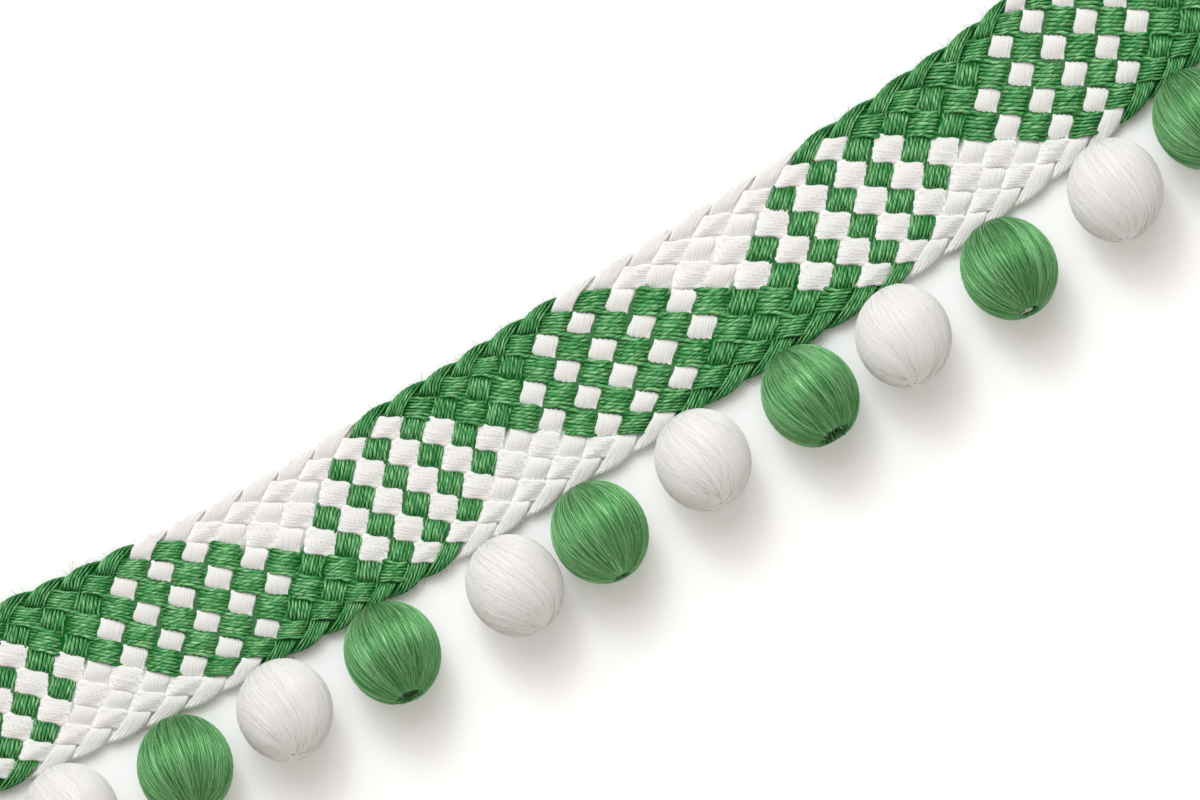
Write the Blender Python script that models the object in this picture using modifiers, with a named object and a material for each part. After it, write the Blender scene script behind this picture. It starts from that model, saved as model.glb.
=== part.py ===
"""A plaited two-colour tape with a row of thread-wound balls tied along one edge.

The band is a flat plait of twelve strands, six green and six white, so its colours fall into
checks between plain triangles. It lies flat, with +X along the tape, +Y towards the edge that has
no balls and +Z up. All sizes are in metres.
"""

import math
from collections import namedtuple

import bmesh
import bpy
from mathutils import Matrix, Vector

COLLECTION = "plaited_ball_tape"
CUTTERS = "cutters"

# The band
BAND_LENGTH = 0.244
BAND_THICKNESS = 0.0025
STRAND_WIDTH = 0.0038
ROW_PITCH = 0.002425  # across the band, from one row of crossings to the next
OUTER_ROW = 5  # crossings lie in rows -5 to 5, and strands turn back at rows -6 and 6
STRAIGHT_ROWS = 3  # beyond this row the strands curve round towards their turn
SEAM_HEIGHT = 0.0020  # where one strand dips under the next
HOLLOW_HEIGHT = 0.0015  # where four strands meet
SHOULDER_HEIGHT = 0.0019
RIM_HEIGHT = 0.0011
SHOULDER_INSET = 0.0006  # the shoulder and the foot, in from the rim
FOOT_INSET = 0.0005
SCALLOP = 0.00045  # how far a turning strand stands out from its neighbours
OUTER_ROW_DROP = 0.0002  # the outermost crossings lie a little lower
END_SPARE = 0.006  # the plait is made this much too long at each end, then cut

# How the band lies: straight in the middle, both ends bending towards the edge without balls
END_BEND = math.radians(8.0)
BEND_REACH = 0.080
BEND_MIDDLE = 0.004

# The plait is uneven: where each half repeat starts, and how far its rows lean
STEPS = 12  # crossings in a half repeat
HalfRepeat = namedtuple("HalfRepeat", "number along lean")
HALF_REPEATS = [
    HalfRepeat(-2, -0.1700, 10),
    HalfRepeat(-1, -0.1350, 12),
    HalfRepeat(0, -0.0998, 14),
    HalfRepeat(1, -0.0654, 16),
    HalfRepeat(2, -0.0302, 4.5),
    HalfRepeat(3, 0.0051, 6.5),
    HalfRepeat(4, 0.0460, 6),
    HalfRepeat(5, 0.0838, -1),
    HalfRepeat(6, 0.1185, 3),
    HalfRepeat(7, 0.1535, 5),
    HalfRepeat(8, 0.1885, 5),
]

# The balls: a bead with a hole along it, longer along the hole than across it
BALL_ACROSS = 0.0139
BALL_ALONG_HOLE = 0.0153
HOLE_RADIUS = 0.0012
MOUTH_RADIUS = 0.0019  # where the hole flares out to the ball's round
MOUTH_DEPTH = 0.0006
BALL_SIDES = 18
BALL_ROWS = 9
FLAT_SPOT_DEPTH = 0.0002

# Each ball's place, with the turn of its hole away from straight across and the hole's tilt
Ball = namedtuple("Ball", "number along across turn tilt")
BALLS = [
    Ball(1, -0.1104, -0.0192, -10, 24),
    Ball(2, -0.0932, -0.0197, -8, 26),
    Ball(3, -0.0756, -0.0199, -12, 27),
    Ball(4, -0.0604, -0.0189, -16, 31),
    Ball(5, -0.0436, -0.0192, -8, 25),
    Ball(6, -0.0239, -0.0199, 2, 14),
    Ball(7, -0.0095, -0.0198, -5, 14),
    Ball(8, 0.0087, -0.0188, -10, 25),
    Ball(9, 0.0267, -0.0191, 0, 24),
    Ball(10, 0.0425, -0.0190, -20, 20),
    Ball(11, 0.0600, -0.0193, -10, 22),
    Ball(12, 0.0779, -0.0192, -26, 14),
    Ball(13, 0.0933, -0.0191, -12, 24),
    Ball(14, 0.1101, -0.0194, -8, 26),
]

# The ties: a short thread from a knot in the ball's lower mouth to a knot on the band's edge
TIE_RADIUS = 0.0005
TieRing = namedtuple("TieRing", "inset radius")  # inset is in from the end of the ball
LOWER_KNOT = [
    TieRing(-0.0001, 0.0005),
    TieRing(0.0003, 0.0010),
    TieRing(0.0006, 0.0011),
    TieRing(0.0011, 0.0008),
    TieRing(0.0015, TIE_RADIUS),
]
EDGE_KNOT_RADIUS = 0.0007
EDGE_KNOT_ACROSS = -0.0113
EDGE_KNOT_LENGTH = 0.0012
CLEARANCE = 0.0003
TIE_BEVEL = 2

GREEN = (0.045, 0.270, 0.085, 1.0)
WHITE = (0.780, 0.765, 0.730, 1.0)
FABRIC_ROUGHNESS = 0.80
CUTTER_SIZE = 0.060


def clear_scene():
    for old in list(bpy.data.objects):
        bpy.data.objects.remove(old)


def make_collection(name):
    made = bpy.data.collections.new(name)
    bpy.context.scene.collection.children.link(made)
    return made


def make_material(name, colour):
    material = bpy.data.materials.new(name)
    material.use_nodes = True
    shader = material.node_tree.nodes["Principled BSDF"]
    shader.inputs["Base Color"].default_value = colour
    shader.inputs["Roughness"].default_value = FABRIC_ROUGHNESS
    shader.inputs["Metallic"].default_value = 0.0
    material.diffuse_color = colour
    return material


def rise(along):
    """How far the band's middle line lies from straight, and its heading there."""
    reach = along - BEND_MIDDLE
    part = min(abs(reach) / BEND_REACH, 1.0)
    heading = math.copysign(END_BEND * part**3, reach)
    height = END_BEND * BEND_REACH / 4 * part**4
    height += END_BEND * max(abs(reach) - BEND_REACH, 0.0)
    return height, heading


def place(along, across, height=0.0):
    """A point of the lying tape, from its place along, across and above the band."""
    middle, heading = rise(along)
    return Vector(
        (
            along - across * math.sin(heading),
            middle + across * math.cos(heading),
            height,
        )
    )


def half_repeat_at(step):
    """Where a step of the plait starts along the band, and its lean, on a smooth curve."""
    at = step / STEPS
    first = HALF_REPEATS[0].number
    index = min(max(math.floor(at) - first, 1), len(HALF_REPEATS) - 3)
    u = at - first - index
    before, start, end, after = HALF_REPEATS[index - 1 : index + 3]
    weights = (
        (-u + 2 * u**2 - u**3) / 2,
        (2 - 5 * u**2 + 3 * u**3) / 2,
        (u + 4 * u**2 - 3 * u**3) / 2,
        (u**3 - u**2) / 2,
    )
    rows = (before, start, end, after)
    along = sum(w * row.along for w, row in zip(weights, rows))
    lean = sum(w * row.lean for w, row in zip(weights, rows))
    return along, math.radians(lean)


def across_at_row(row):
    """The strands run straight in the middle rows and ease into their turn at the edges."""
    size = abs(row)
    past = max(size - STRAIGHT_ROWS, 0)
    turn_row = OUTER_ROW + 1
    eased = size - past**2 / (2 * (turn_row - STRAIGHT_ROWS))
    return math.copysign(ROW_PITCH * eased, row)


def along_at(step, across):
    along, lean = half_repeat_at(step)
    return along - across * math.tan(lean)


def is_crossing(step, row):
    return (step + row) % 2 == 1


def rim_across(step):
    """The outer edge of the turning strands, scalloped from one strand to the next."""
    turn = across_at_row(OUTER_ROW + 1) + STRAND_WIDTH / 2
    return turn if step % 2 else turn - SCALLOP


def band_section(step):
    """The points round the band at one step of the plait, from the near shoulder up and over."""
    points = []
    for row in range(-OUTER_ROW, OUTER_ROW + 1):
        height = BAND_THICKNESS if is_crossing(step, row) else HOLLOW_HEIGHT
        if abs(row) == OUTER_ROW:
            height = min(max(height, SEAM_HEIGHT), BAND_THICKNESS - OUTER_ROW_DROP)
        points.append((across_at_row(row), height))
    rim = rim_across(step)
    points.append((rim - SHOULDER_INSET, SHOULDER_HEIGHT))
    points.append((rim, RIM_HEIGHT))
    points.append((rim - FOOT_INSET, 0.0))
    points.append((-rim + FOOT_INSET, 0.0))
    points.append((-rim, RIM_HEIGHT))
    points.append((-rim + SHOULDER_INSET, SHOULDER_HEIGHT))
    return [place(along_at(step, across), across, height) for across, height in points]


def strand_is_white(step, row, rising):
    """Rising strands keep step - row, and falling ones step + row, as they cross the band."""
    track = step - row if rising else step + row
    turn = math.floor((track + STEPS / 2) / STEPS)
    return turn % 2 == 1 if rising else turn % 2 == 0


def crossing_is_white(step, row):
    rising_on_top = row % 2 == 1
    return strand_is_white(step, row, rising_on_top)


def last_steps():
    """The steps of the plait that reach just past both cut ends."""
    steps = range(HALF_REPEATS[1].number * STEPS, HALF_REPEATS[-2].number * STEPS)
    reach = BAND_LENGTH / 2 + END_SPARE
    inside = [step for step in steps if abs(half_repeat_at(step)[0]) < reach]
    return inside[0], inside[-1]


def make_band(collection, materials, end_cutters):
    """Lofts the band from its sections, with a pillow over each crossing, and cuts its ends."""
    mesh = bpy.data.meshes.new("plaited_band")
    form = bmesh.new()
    first, last = last_steps()
    sections = {}
    for step in range(first, last + 1):
        sections[step] = [form.verts.new(point) for point in band_section(step)]
    size = len(sections[first])
    top = 2 * OUTER_ROW
    for step in range(first, last):
        ring, following = sections[step], sections[step + 1]
        for k in range(size):
            after = (k + 1) % size
            corners = (ring[k], following[k], following[after], ring[after])
            if k < top:
                add_pillow_quarters(form, corners, step, k - OUTER_ROW)
            else:
                face = form.faces.new(corners)
                row = OUTER_ROW if k < top + 3 else -OUTER_ROW
                crossing = step if is_crossing(step, row) else step + 1
                face.material_index = int(crossing_is_white(crossing, row))
    form.faces.new(sections[first])
    form.faces.new(reversed(sections[last]))
    bmesh.ops.recalc_face_normals(form, faces=form.faces)
    form.to_mesh(mesh)
    form.free()
    for material in materials:
        mesh.materials.append(material)
    band = bpy.data.objects.new("plaited_band", mesh)
    collection.objects.link(band)
    for cutter in end_cutters:
        cut = band.modifiers.new("cut " + cutter.name, "BOOLEAN")
        cut.object = cutter
        cut.operation = "DIFFERENCE"
        cut.solver = "EXACT"
    return band


def add_pillow_quarters(form, corners, step, row):
    """Four triangles that fall from two neighbouring crossings to the seam between them."""
    middle = sum((corner.co for corner in corners), Vector()) / 4
    middle.z = SEAM_HEIGHT
    centre = form.verts.new(middle)
    places = ((step, row), (step + 1, row), (step + 1, row + 1), (step, row + 1))
    for k in range(4):
        after = (k + 1) % 4
        face = form.faces.new((corners[k], corners[after], centre))
        crossing = places[k] if is_crossing(*places[k]) else places[after]
        face.material_index = int(crossing_is_white(*crossing))


def make_end_cutters(collection):
    """A block past each cut end, turned to the band's heading there."""
    cutters = []
    for side, name in ((-1, "left"), (1, "right")):
        along = side * BAND_LENGTH / 2
        middle, heading = rise(along)
        mesh = bpy.data.meshes.new("end_cutter_" + name)
        form = bmesh.new()
        bmesh.ops.create_cube(form, size=CUTTER_SIZE)
        form.to_mesh(mesh)
        form.free()
        cutter = bpy.data.objects.new(mesh.name, mesh)
        turned = Matrix.Rotation(heading, 4, "Z")
        out = turned @ Vector((side * CUTTER_SIZE / 2, 0, 0))
        cutter.matrix_world = Matrix.Translation(Vector((along, middle, 0)) + out) @ turned
        hide_cutter(cutter, collection)
        cutters.append(cutter)
    return cutters


def make_floor_cutter(collection):
    """A slab below the surface, which gives each ball its small flat spot."""
    mesh = bpy.data.meshes.new("floor_cutter")
    form = bmesh.new()
    bmesh.ops.create_cube(form, size=1.0)
    form.to_mesh(mesh)
    form.free()
    mesh.transform(Matrix.Diagonal((2 * BAND_LENGTH, BAND_LENGTH, CUTTER_SIZE, 1)))
    cutter = bpy.data.objects.new(mesh.name, mesh)
    cutter.location = (0, 0, -CUTTER_SIZE / 2)
    hide_cutter(cutter, collection)
    return cutter


def hide_cutter(cutter, collection):
    collection.objects.link(cutter)
    cutter.hide_render = True
    cutter.display_type = "WIRE"


def ball_profile():
    """Half of the ball's section, down its outer side and back up the hole."""
    half_across, half_along = BALL_ACROSS / 2, BALL_ALONG_HOLE / 2
    edge = math.acos(MOUTH_RADIUS / half_across)
    points = []
    for k in range(BALL_ROWS + 1):
        angle = edge * (1 - 2 * k / BALL_ROWS)
        points.append((half_across * math.cos(angle), half_along * math.sin(angle)))
    mouth = half_along * math.sin(edge) - MOUTH_DEPTH
    points.append((HOLE_RADIUS, -mouth))
    points.append((HOLE_RADIUS, mouth))
    return points


def ball_mesh(material):
    """The profile, closed on itself, for the Screw modifier to turn about the hole's axis."""
    mesh = bpy.data.meshes.new("ball_profile")
    points = ball_profile()
    edges = [(k, (k + 1) % len(points)) for k in range(len(points))]
    mesh.from_pydata([(radius, 0, height) for radius, height in points], edges, [])
    mesh.materials.append(material)
    return mesh


def axis_of(ball):
    """The hole's direction, from the band down and away, with its lower mouth tilted up."""
    heading = rise(ball.along)[1]
    bearing = heading - math.pi / 2 + math.radians(ball.turn)
    tilt = math.radians(ball.tilt)
    return Vector(
        (
            math.cos(bearing) * math.cos(tilt),
            math.sin(bearing) * math.cos(tilt),
            math.sin(tilt),
        )
    )


def ball_centre(ball):
    """The ball rests on the surface, sunk by the depth of its flat spot."""
    tilt = math.radians(ball.tilt)
    reach = math.hypot(
        BALL_ACROSS / 2 * math.cos(tilt), BALL_ALONG_HOLE / 2 * math.sin(tilt)
    )
    return place(ball.along, ball.across, reach - FLAT_SPOT_DEPTH)


def make_ball(ball, mesh, collection, floor_cutter):
    made = bpy.data.objects.new(f"ball_{ball.number:02d}", mesh)
    collection.objects.link(made)
    made.location = ball_centre(ball)
    made.rotation_euler = axis_of(ball).to_track_quat("Z", "Y").to_euler()
    turned = made.modifiers.new("turned about the hole", "SCREW")
    turned.axis = "Z"
    turned.steps = BALL_SIDES
    turned.render_steps = BALL_SIDES
    turned.use_merge_vertices = True
    turned.merge_threshold = 0.00001
    turned.use_smooth_shade = True
    spot = made.modifiers.new("flat spot", "BOOLEAN")
    spot.object = floor_cutter
    spot.operation = "DIFFERENCE"
    spot.solver = "EXACT"
    return made


def tie_points(ball):
    """Points and radii of a tie, from its knot in the lower mouth to its knot on the edge."""
    centre, axis = ball_centre(ball), axis_of(ball)
    end = BALL_ALONG_HOLE / 2
    points = [(centre + axis * (end - ring.inset), ring.radius) for ring in LOWER_KNOT]
    points.append((centre - axis * (end - LOWER_KNOT[-1].inset), TIE_RADIUS))
    leaving = centre - axis * end
    points.append((leaving, TIE_RADIUS))
    height = BAND_THICKNESS + CLEARANCE + EDGE_KNOT_RADIUS
    along = ball.along - end * math.sin(math.radians(ball.turn))
    knot = place(along, EDGE_KNOT_ACROSS, height)
    inward = place(along, EDGE_KNOT_ACROSS + EDGE_KNOT_LENGTH, height) - knot
    points.append((leaving.lerp(knot, 0.5), TIE_RADIUS))
    points.append((knot, EDGE_KNOT_RADIUS))
    points.append((knot + inward * 0.6, EDGE_KNOT_RADIUS))
    points.append((knot + inward, 0.5 * EDGE_KNOT_RADIUS))
    return points


def make_tie(ball, material, collection):
    curve = bpy.data.curves.new(f"tie_{ball.number:02d}", "CURVE")
    curve.dimensions = "3D"
    curve.bevel_depth = 1.0
    curve.bevel_resolution = TIE_BEVEL
    curve.use_fill_caps = True
    curve.materials.append(material)
    points = tie_points(ball)
    spline = curve.splines.new("POLY")
    spline.points.add(len(points) - 1)
    for point, (at, radius) in zip(spline.points, points):
        point.co = (*at, 1.0)
        point.radius = radius
    made = bpy.data.objects.new(curve.name, curve)
    collection.objects.link(made)
    return made


def lowest_and_highest(objects):
    """The corners of the box round the finished pieces."""
    graph = bpy.context.evaluated_depsgraph_get()
    points = []
    for piece in objects:
        shown = piece.evaluated_get(graph)
        mesh = shown.to_mesh()
        points += [piece.matrix_world @ vertex.co for vertex in mesh.vertices]
        shown.to_mesh_clear()
    low = Vector(min(point[k] for point in points) for k in range(3))
    high = Vector(max(point[k] for point in points) for k in range(3))
    return low, high


def centre_on_origin(pieces, cutters, collection):
    """Parents everything to an empty, moved so that the origin is under the tape's middle."""
    bpy.context.view_layer.update()
    low, high = lowest_and_highest(pieces)
    origin = bpy.data.objects.new("tape_origin", None)
    collection.objects.link(origin)
    for piece in pieces + cutters:
        piece.parent = origin
    middle = (low + high) / 2
    origin.location = (-middle.x, -middle.y, -low.z)
    bpy.context.view_layer.update()
    print("origin moved by", [round(x, 6) for x in origin.location])
    print("size", [round(x, 6) for x in high - low])


def main():
    clear_scene()
    parts = make_collection(COLLECTION)
    cutters = make_collection(CUTTERS)
    green = make_material("green_cotton", GREEN)
    white = make_material("white_cotton", WHITE)
    end_cutters = make_end_cutters(cutters)
    floor_cutter = make_floor_cutter(cutters)
    pieces = [make_band(parts, (green, white), end_cutters)]
    meshes = {0: ball_mesh(white), 1: ball_mesh(green)}
    for ball in BALLS:
        pieces.append(make_ball(ball, meshes[ball.number % 2], parts, floor_cutter))
    for ball in BALLS:
        pieces.append(make_tie(ball, (white, green)[ball.number % 2], parts))
    centre_on_origin(pieces, end_cutters + [floor_cutter], parts)


main()
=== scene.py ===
# %% [markdown]
# # A plaited tape with thread-wound balls
# The tape is a flat plait of twelve thick strands, six green and six white, with a row of balls
# tied along one edge. Each strand is a bundle of cotton yarns, and each ball is a bead covered
# with fine thread from pole to pole. The solids of the part give the sizes and places. Here every
# strand, yarn and winding is modelled over them, because on a trimming the yarn is the look.

# %% Load the frame
import math
from collections import namedtuple

import bpy
import numpy as np
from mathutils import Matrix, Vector


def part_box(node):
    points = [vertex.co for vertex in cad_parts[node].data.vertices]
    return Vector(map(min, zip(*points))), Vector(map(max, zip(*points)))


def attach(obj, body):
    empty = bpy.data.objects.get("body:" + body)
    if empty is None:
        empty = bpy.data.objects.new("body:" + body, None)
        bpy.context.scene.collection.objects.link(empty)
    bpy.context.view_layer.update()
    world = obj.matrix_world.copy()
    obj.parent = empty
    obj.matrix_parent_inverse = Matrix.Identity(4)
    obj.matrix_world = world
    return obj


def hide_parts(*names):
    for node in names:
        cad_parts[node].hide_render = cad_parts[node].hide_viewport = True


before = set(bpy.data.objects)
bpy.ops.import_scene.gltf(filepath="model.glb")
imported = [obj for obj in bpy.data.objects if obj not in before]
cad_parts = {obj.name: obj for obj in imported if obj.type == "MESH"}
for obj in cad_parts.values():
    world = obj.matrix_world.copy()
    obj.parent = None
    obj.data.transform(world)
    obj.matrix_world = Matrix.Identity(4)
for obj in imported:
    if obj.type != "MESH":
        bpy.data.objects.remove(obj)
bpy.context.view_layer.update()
random = np.random.default_rng(11)

# %% [markdown]
# ## The lie of the tape
# The band lies flat, straight in its middle, and both ends bend a little towards the edge that
# has no balls. It is easiest to work on a straight tape, with a place along, a place across and a
# height, and to bend all of it at the end. So one function maps straight places to lying ones.

# %% The bending map
BAND_LENGTH = 0.244
BAND_THICKNESS = 0.0025
HALF_WIDTH = 0.01281
END_BEND = math.radians(8.0)
BEND_REACH = 0.080  # from the middle of the bend to where an end is straight again
BEND_MIDDLE = 0.004
BAND_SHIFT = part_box("plaited_band")[0].y + HALF_WIDTH


def rise(along):
    """How far the middle line lies from straight, and its heading."""
    reach = along - BEND_MIDDLE
    part = np.minimum(np.abs(reach) / BEND_REACH, 1.0)
    heading = np.sign(reach) * END_BEND * part**3
    middle = END_BEND * BEND_REACH / 4 * part**4
    middle = middle + END_BEND * np.maximum(np.abs(reach) - BEND_REACH, 0.0)
    return middle, heading


def lay(points):
    """Maps rows of along, across, height to places in the frame."""
    along, across, height = np.asarray(points, float).T
    middle, heading = rise(along)
    x = along - across * np.sin(heading)
    y = middle + across * np.cos(heading) + BAND_SHIFT
    return np.stack([x, y, height], 1)


print("the band's middle line is", round(BAND_SHIFT * 1000, 2), "mm from the frame's")

# %% [markdown]
# ## The order of the plait
# In a flat plait each strand zigzags from edge to edge and passes over one, under one. Counting
# crossings along the tape as steps and across it as rows makes that simple: a strand climbs one
# row each step, turns at row 6 and comes down again, and a full repeat is 24 steps. The plait was
# pulled unevenly, so a short table says where each half repeat starts and how far its rows lean.

# %% Steps and rows
STEPS = 12  # in a half repeat, from one edge to the other
OUTER_ROW = 5
TURN_ROW = OUTER_ROW + 1
STRAIGHT_ROWS = 3  # as far as this the rows are evenly spaced
EASED_ROWS = 4  # from here to the fold they are evenly spaced again, but closer
FOLD_ROW = 5.75
ROW_PITCH = 0.002425
HalfRepeat = namedtuple("HalfRepeat", "number along lean")
HALF_REPEATS = [  # place along the tape in metres, lean in degrees
    HalfRepeat(-2, -0.1700, 10),
    HalfRepeat(-1, -0.1350, 12),
    HalfRepeat(0, -0.0998, 14),
    HalfRepeat(1, -0.0654, 16),
    HalfRepeat(2, -0.0302, 4.5),
    HalfRepeat(3, 0.0051, 6.5),
    HalfRepeat(4, 0.0460, 6),
    HalfRepeat(5, 0.0838, -1),
    HalfRepeat(6, 0.1185, 3),
    HalfRepeat(7, 0.1535, 5),
    HalfRepeat(8, 0.1885, 5),
]
FIRST_STEP, LAST_STEP = (HALF_REPEATS[k].number * STEPS for k in (1, -2))  # past both cut ends


def curve_between(before, start, end, after, u):
    """A smooth curve at a share u of the way from start to end, with a neighbour on each side."""
    return (
        before * (-u + 2 * u**2 - u**3)
        + start * (2 - 5 * u**2 + 3 * u**3)
        + end * (u + 4 * u**2 - 3 * u**3)
        + after * (u**3 - u**2)
    ) / 2


def through_table(step, values):
    """A smooth curve through the table's values, one for each half repeat."""
    at = np.asarray(step, float) / STEPS - HALF_REPEATS[0].number
    index = np.clip(np.floor(at).astype(int), 1, len(values) - 3)
    values = np.asarray(values, float)
    before, start, end, after = (values[index + k] for k in (-1, 0, 1, 2))
    return curve_between(before, start, end, after, at - index)


def across_at(row):
    """Even in the middle rows, closer near the edges, and a quick turn at the very edge."""
    size = np.abs(row)
    easing = 2 * (TURN_ROW - STRAIGHT_ROWS)
    past = np.clip(size - STRAIGHT_ROWS, 0, EASED_ROWS - STRAIGHT_ROWS)
    inner = np.minimum(size, EASED_ROWS) - past**2 / easing
    edge_slope = 1 - 2 * (EASED_ROWS - STRAIGHT_ROWS) / easing
    outer = np.maximum(size - EASED_ROWS, 0)
    fold = np.maximum(size - FOLD_ROW, 0)
    outer = outer - fold**2 / (2 * (TURN_ROW - FOLD_ROW))
    return np.sign(row) * ROW_PITCH * (inner + edge_slope * outer)


def along_at(step, across):
    """Place along the tape of a step, whose crossings lie on a line that leans off square."""
    lean = np.radians(through_table(step, [r.lean for r in HALF_REPEATS]))
    return through_table(step, [r.along for r in HALF_REPEATS]) - across * np.tan(lean)


def step_length(step):
    """Local distance between two steps."""
    ahead = through_table(np.asarray(step) + 0.5, [r.along for r in HALF_REPEATS])
    behind = through_table(np.asarray(step) - 0.5, [r.along for r in HALF_REPEATS])
    return ahead - behind


print("step length, mm:", np.round(step_length(np.arange(-36, 90, STEPS)) * 1000, 2))

# %% [markdown]
# ## The way of one yarn
# A rising strand is on top in the odd rows and a falling one in the even rows, so at the far edge
# it comes in on top and goes back underneath. At an edge a strand folds over like a ribbon: each
# of its yarns turns at its own place along the edge. So a yarn is the strand's line moved along
# the tape by its own shift, and its highest points move by about half of that. The skews turn the
# ends of a float with the strands that cross it, as a pull on the plait does.

# %% Yarn paths
RISING_SKEW = 1.05
FALLING_SKEW = 1.15
NEAR_TURN = [0.0, 0.12, 0.24, 0.38, 0.55, 0.75]  # steps from a turn where a yarn has points
STEP_SAMPLE = 0.2  # steps between its points everywhere else
ROW_NUDGE = 0.05  # rows to either side, to measure how far apart they are at one place
LEAST_SPACING = 0.6  # of the rows in the fold, against the middle rows


def steps_since_turn():
    """Places of the points on a strand, in steps from its first turn at the far edge."""
    middle = np.arange(1, STEPS - 1 + STEP_SAMPLE / 2, STEP_SAMPLE)
    half = np.concatenate([NEAR_TURN, middle, STEPS - np.array(NEAR_TURN[:0:-1])])
    first, last = HALF_REPEATS[0].number, HALF_REPEATS[-1].number
    return np.concatenate([k * STEPS + half for k in range(first, last)])


def row_of(since):
    """Row, steps from the nearest turn, and whether the strand is rising."""
    around = np.mod(since + STEPS, 2 * STEPS) - STEPS
    row = TURN_ROW - np.abs(around)
    return row, TURN_ROW - np.abs(row), around < 0


def wave_of(since, shift):
    """Height of a yarn from -1, underneath, to 1, on top."""
    row, from_turn, rising = row_of(since)
    nearing = rising == (row > 0)
    skew = np.where(rising, RISING_SKEW, FALLING_SKEW)
    crossing = 1 + np.where(nearing, 0.5, -0.5) * shift * skew
    outer = np.sin(np.pi / 2 * from_turn / crossing)
    inner = np.cos(np.pi * (from_turn - crossing))
    return np.where(rising, 1.0, -1.0) * np.where(from_turn < crossing, outer, inner)


def rising_share(since):
    """1 on a rising strand, 0 on a falling one, with a smooth change at the turns."""
    phase = since / STEPS
    nearest = np.round(phase)
    through = np.clip((phase - nearest) * STEPS / 2 + 0.5, 0, 1)
    return 0.5 + 0.5 * np.cos(np.pi * (nearest + through**2 * (3 - 2 * through)))


def slow_noise(where, spread, waves=4, shortest=3.0, longest=14.0):
    """A smooth, seeded wander: a few sine waves of unlike lengths."""
    total = np.zeros_like(np.asarray(where, float))
    for _ in range(waves):
        length = random.uniform(shortest, longest)
        total += np.sin(where / length * 2 * np.pi + random.uniform(0, 2 * np.pi))
    return total * spread / math.sqrt(waves / 2)


def row_spacing(row):
    """Local distance between rows, which shrinks towards the edges."""
    spacing = (across_at(row + ROW_NUDGE) - across_at(row - ROW_NUDGE)) / (2 * ROW_NUDGE)
    return np.clip(spacing, LEAST_SPACING * ROW_PITCH, ROW_PITCH)


def strand_pitch(step, row):
    """Room for a strand between its neighbours, square to its own direction."""
    long, wide = step_length(step), row_spacing(row)
    return 2 * long * wide / np.hypot(long, wide)


print("points on a yarn:", len(steps_since_turn()))

# %% [markdown]
# ## Yarns as tubes
# A strand is seven or eight yarns side by side. Each could be a curve with a bevel, but a bevel
# can't be flattened or change its shape along the way, so the tubes are built as meshes: rings of
# points round a line, joined by four-sided faces. A map named yarn keeps the place along and
# round each yarn, so that the finish can follow its twist. Two numbers go with it: a shade for
# each yarn, and a groove that grows where the yarn dives under another. The finish uses that
# groove to paint shade on green yarn and light on white yarn.

# %% Tube helper
Tube = namedtuple("Tube", "points faces maps count ring")
TINY = 1e-12  # keeps a division by a length of zero from failing


def ring_faces(run, ring):
    """Faces between rings of points, and their corners on the yarn map. run is each ring's x."""
    row, k = np.meshgrid(np.arange(len(run) - 1), np.arange(ring), indexing="ij")
    low, after = row * ring + k, row * ring + (k + 1) % ring
    faces = np.stack([low, after, after + ring, low + ring], -1).reshape(-1, 4)
    u, v = run[row], k / ring
    u_next, v_next = run[row + 1], (k + 1) / ring
    maps = np.stack([u, v, u, v_next, u_next, v_next, u_next, v], -1).reshape(-1, 2)
    return faces, maps


def end_caps(start, count, ring):
    """The two faces that close a tube whose points begin at start."""
    first = list(range(start + ring - 1, start - 1, -1))
    last = list(range(start + (count - 1) * ring, start + count * ring))
    return [first, last]


def distance_along(line):
    """Distance from the start of a line to each of its points."""
    return np.concatenate([[0], np.cumsum(np.linalg.norm(np.diff(line, axis=0), axis=1))])


def tube(centres, sides, ups, across, high, ring):
    """A closed tube round a line. across and high are its half width and half height."""
    turn = np.arange(ring) / ring * 2 * np.pi
    points = (
        centres[:, None]
        + sides[:, None] * (across[:, None] * np.cos(turn))[..., None]
        + ups[:, None] * (high[:, None] * np.sin(turn))[..., None]
    ).reshape(-1, 3)
    faces, maps = ring_faces(distance_along(centres), ring)
    return Tube(points, faces, maps, len(centres), ring)


def tube_frames(centres):
    """The sideways and upward directions of a tube along a line that lies flat."""
    ahead = np.gradient(centres, axis=0)
    ahead /= np.linalg.norm(ahead, axis=1)[:, None] + TINY
    side = np.cross(np.array([0.0, 0.0, 1.0]), ahead)
    side /= np.linalg.norm(side, axis=1)[:, None] + TINY
    return side, np.cross(ahead, side)


def add_yarn_map(mesh, maps):
    """The map named yarn: x runs along the yarn and y round it."""
    layer = mesh.uv_layers.new(name="yarn")
    ends = np.zeros((len(mesh.loops) - len(maps), 2))
    layer.uv.foreach_set("vector", np.concatenate([maps, ends]).astype(np.float32).ravel())


def add_numbers(mesh, name, values):
    """A number for each corner point of the mesh, for the finish to read."""
    numbers = mesh.attributes.new(name, "FLOAT", "POINT")
    numbers.data.foreach_set("value", np.asarray(values, np.float32))


def add_object(name, data):
    """Puts a mesh, camera or light into the scene."""
    made = bpy.data.objects.new(name, data)
    bpy.context.scene.collection.objects.link(made)
    return made


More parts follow.
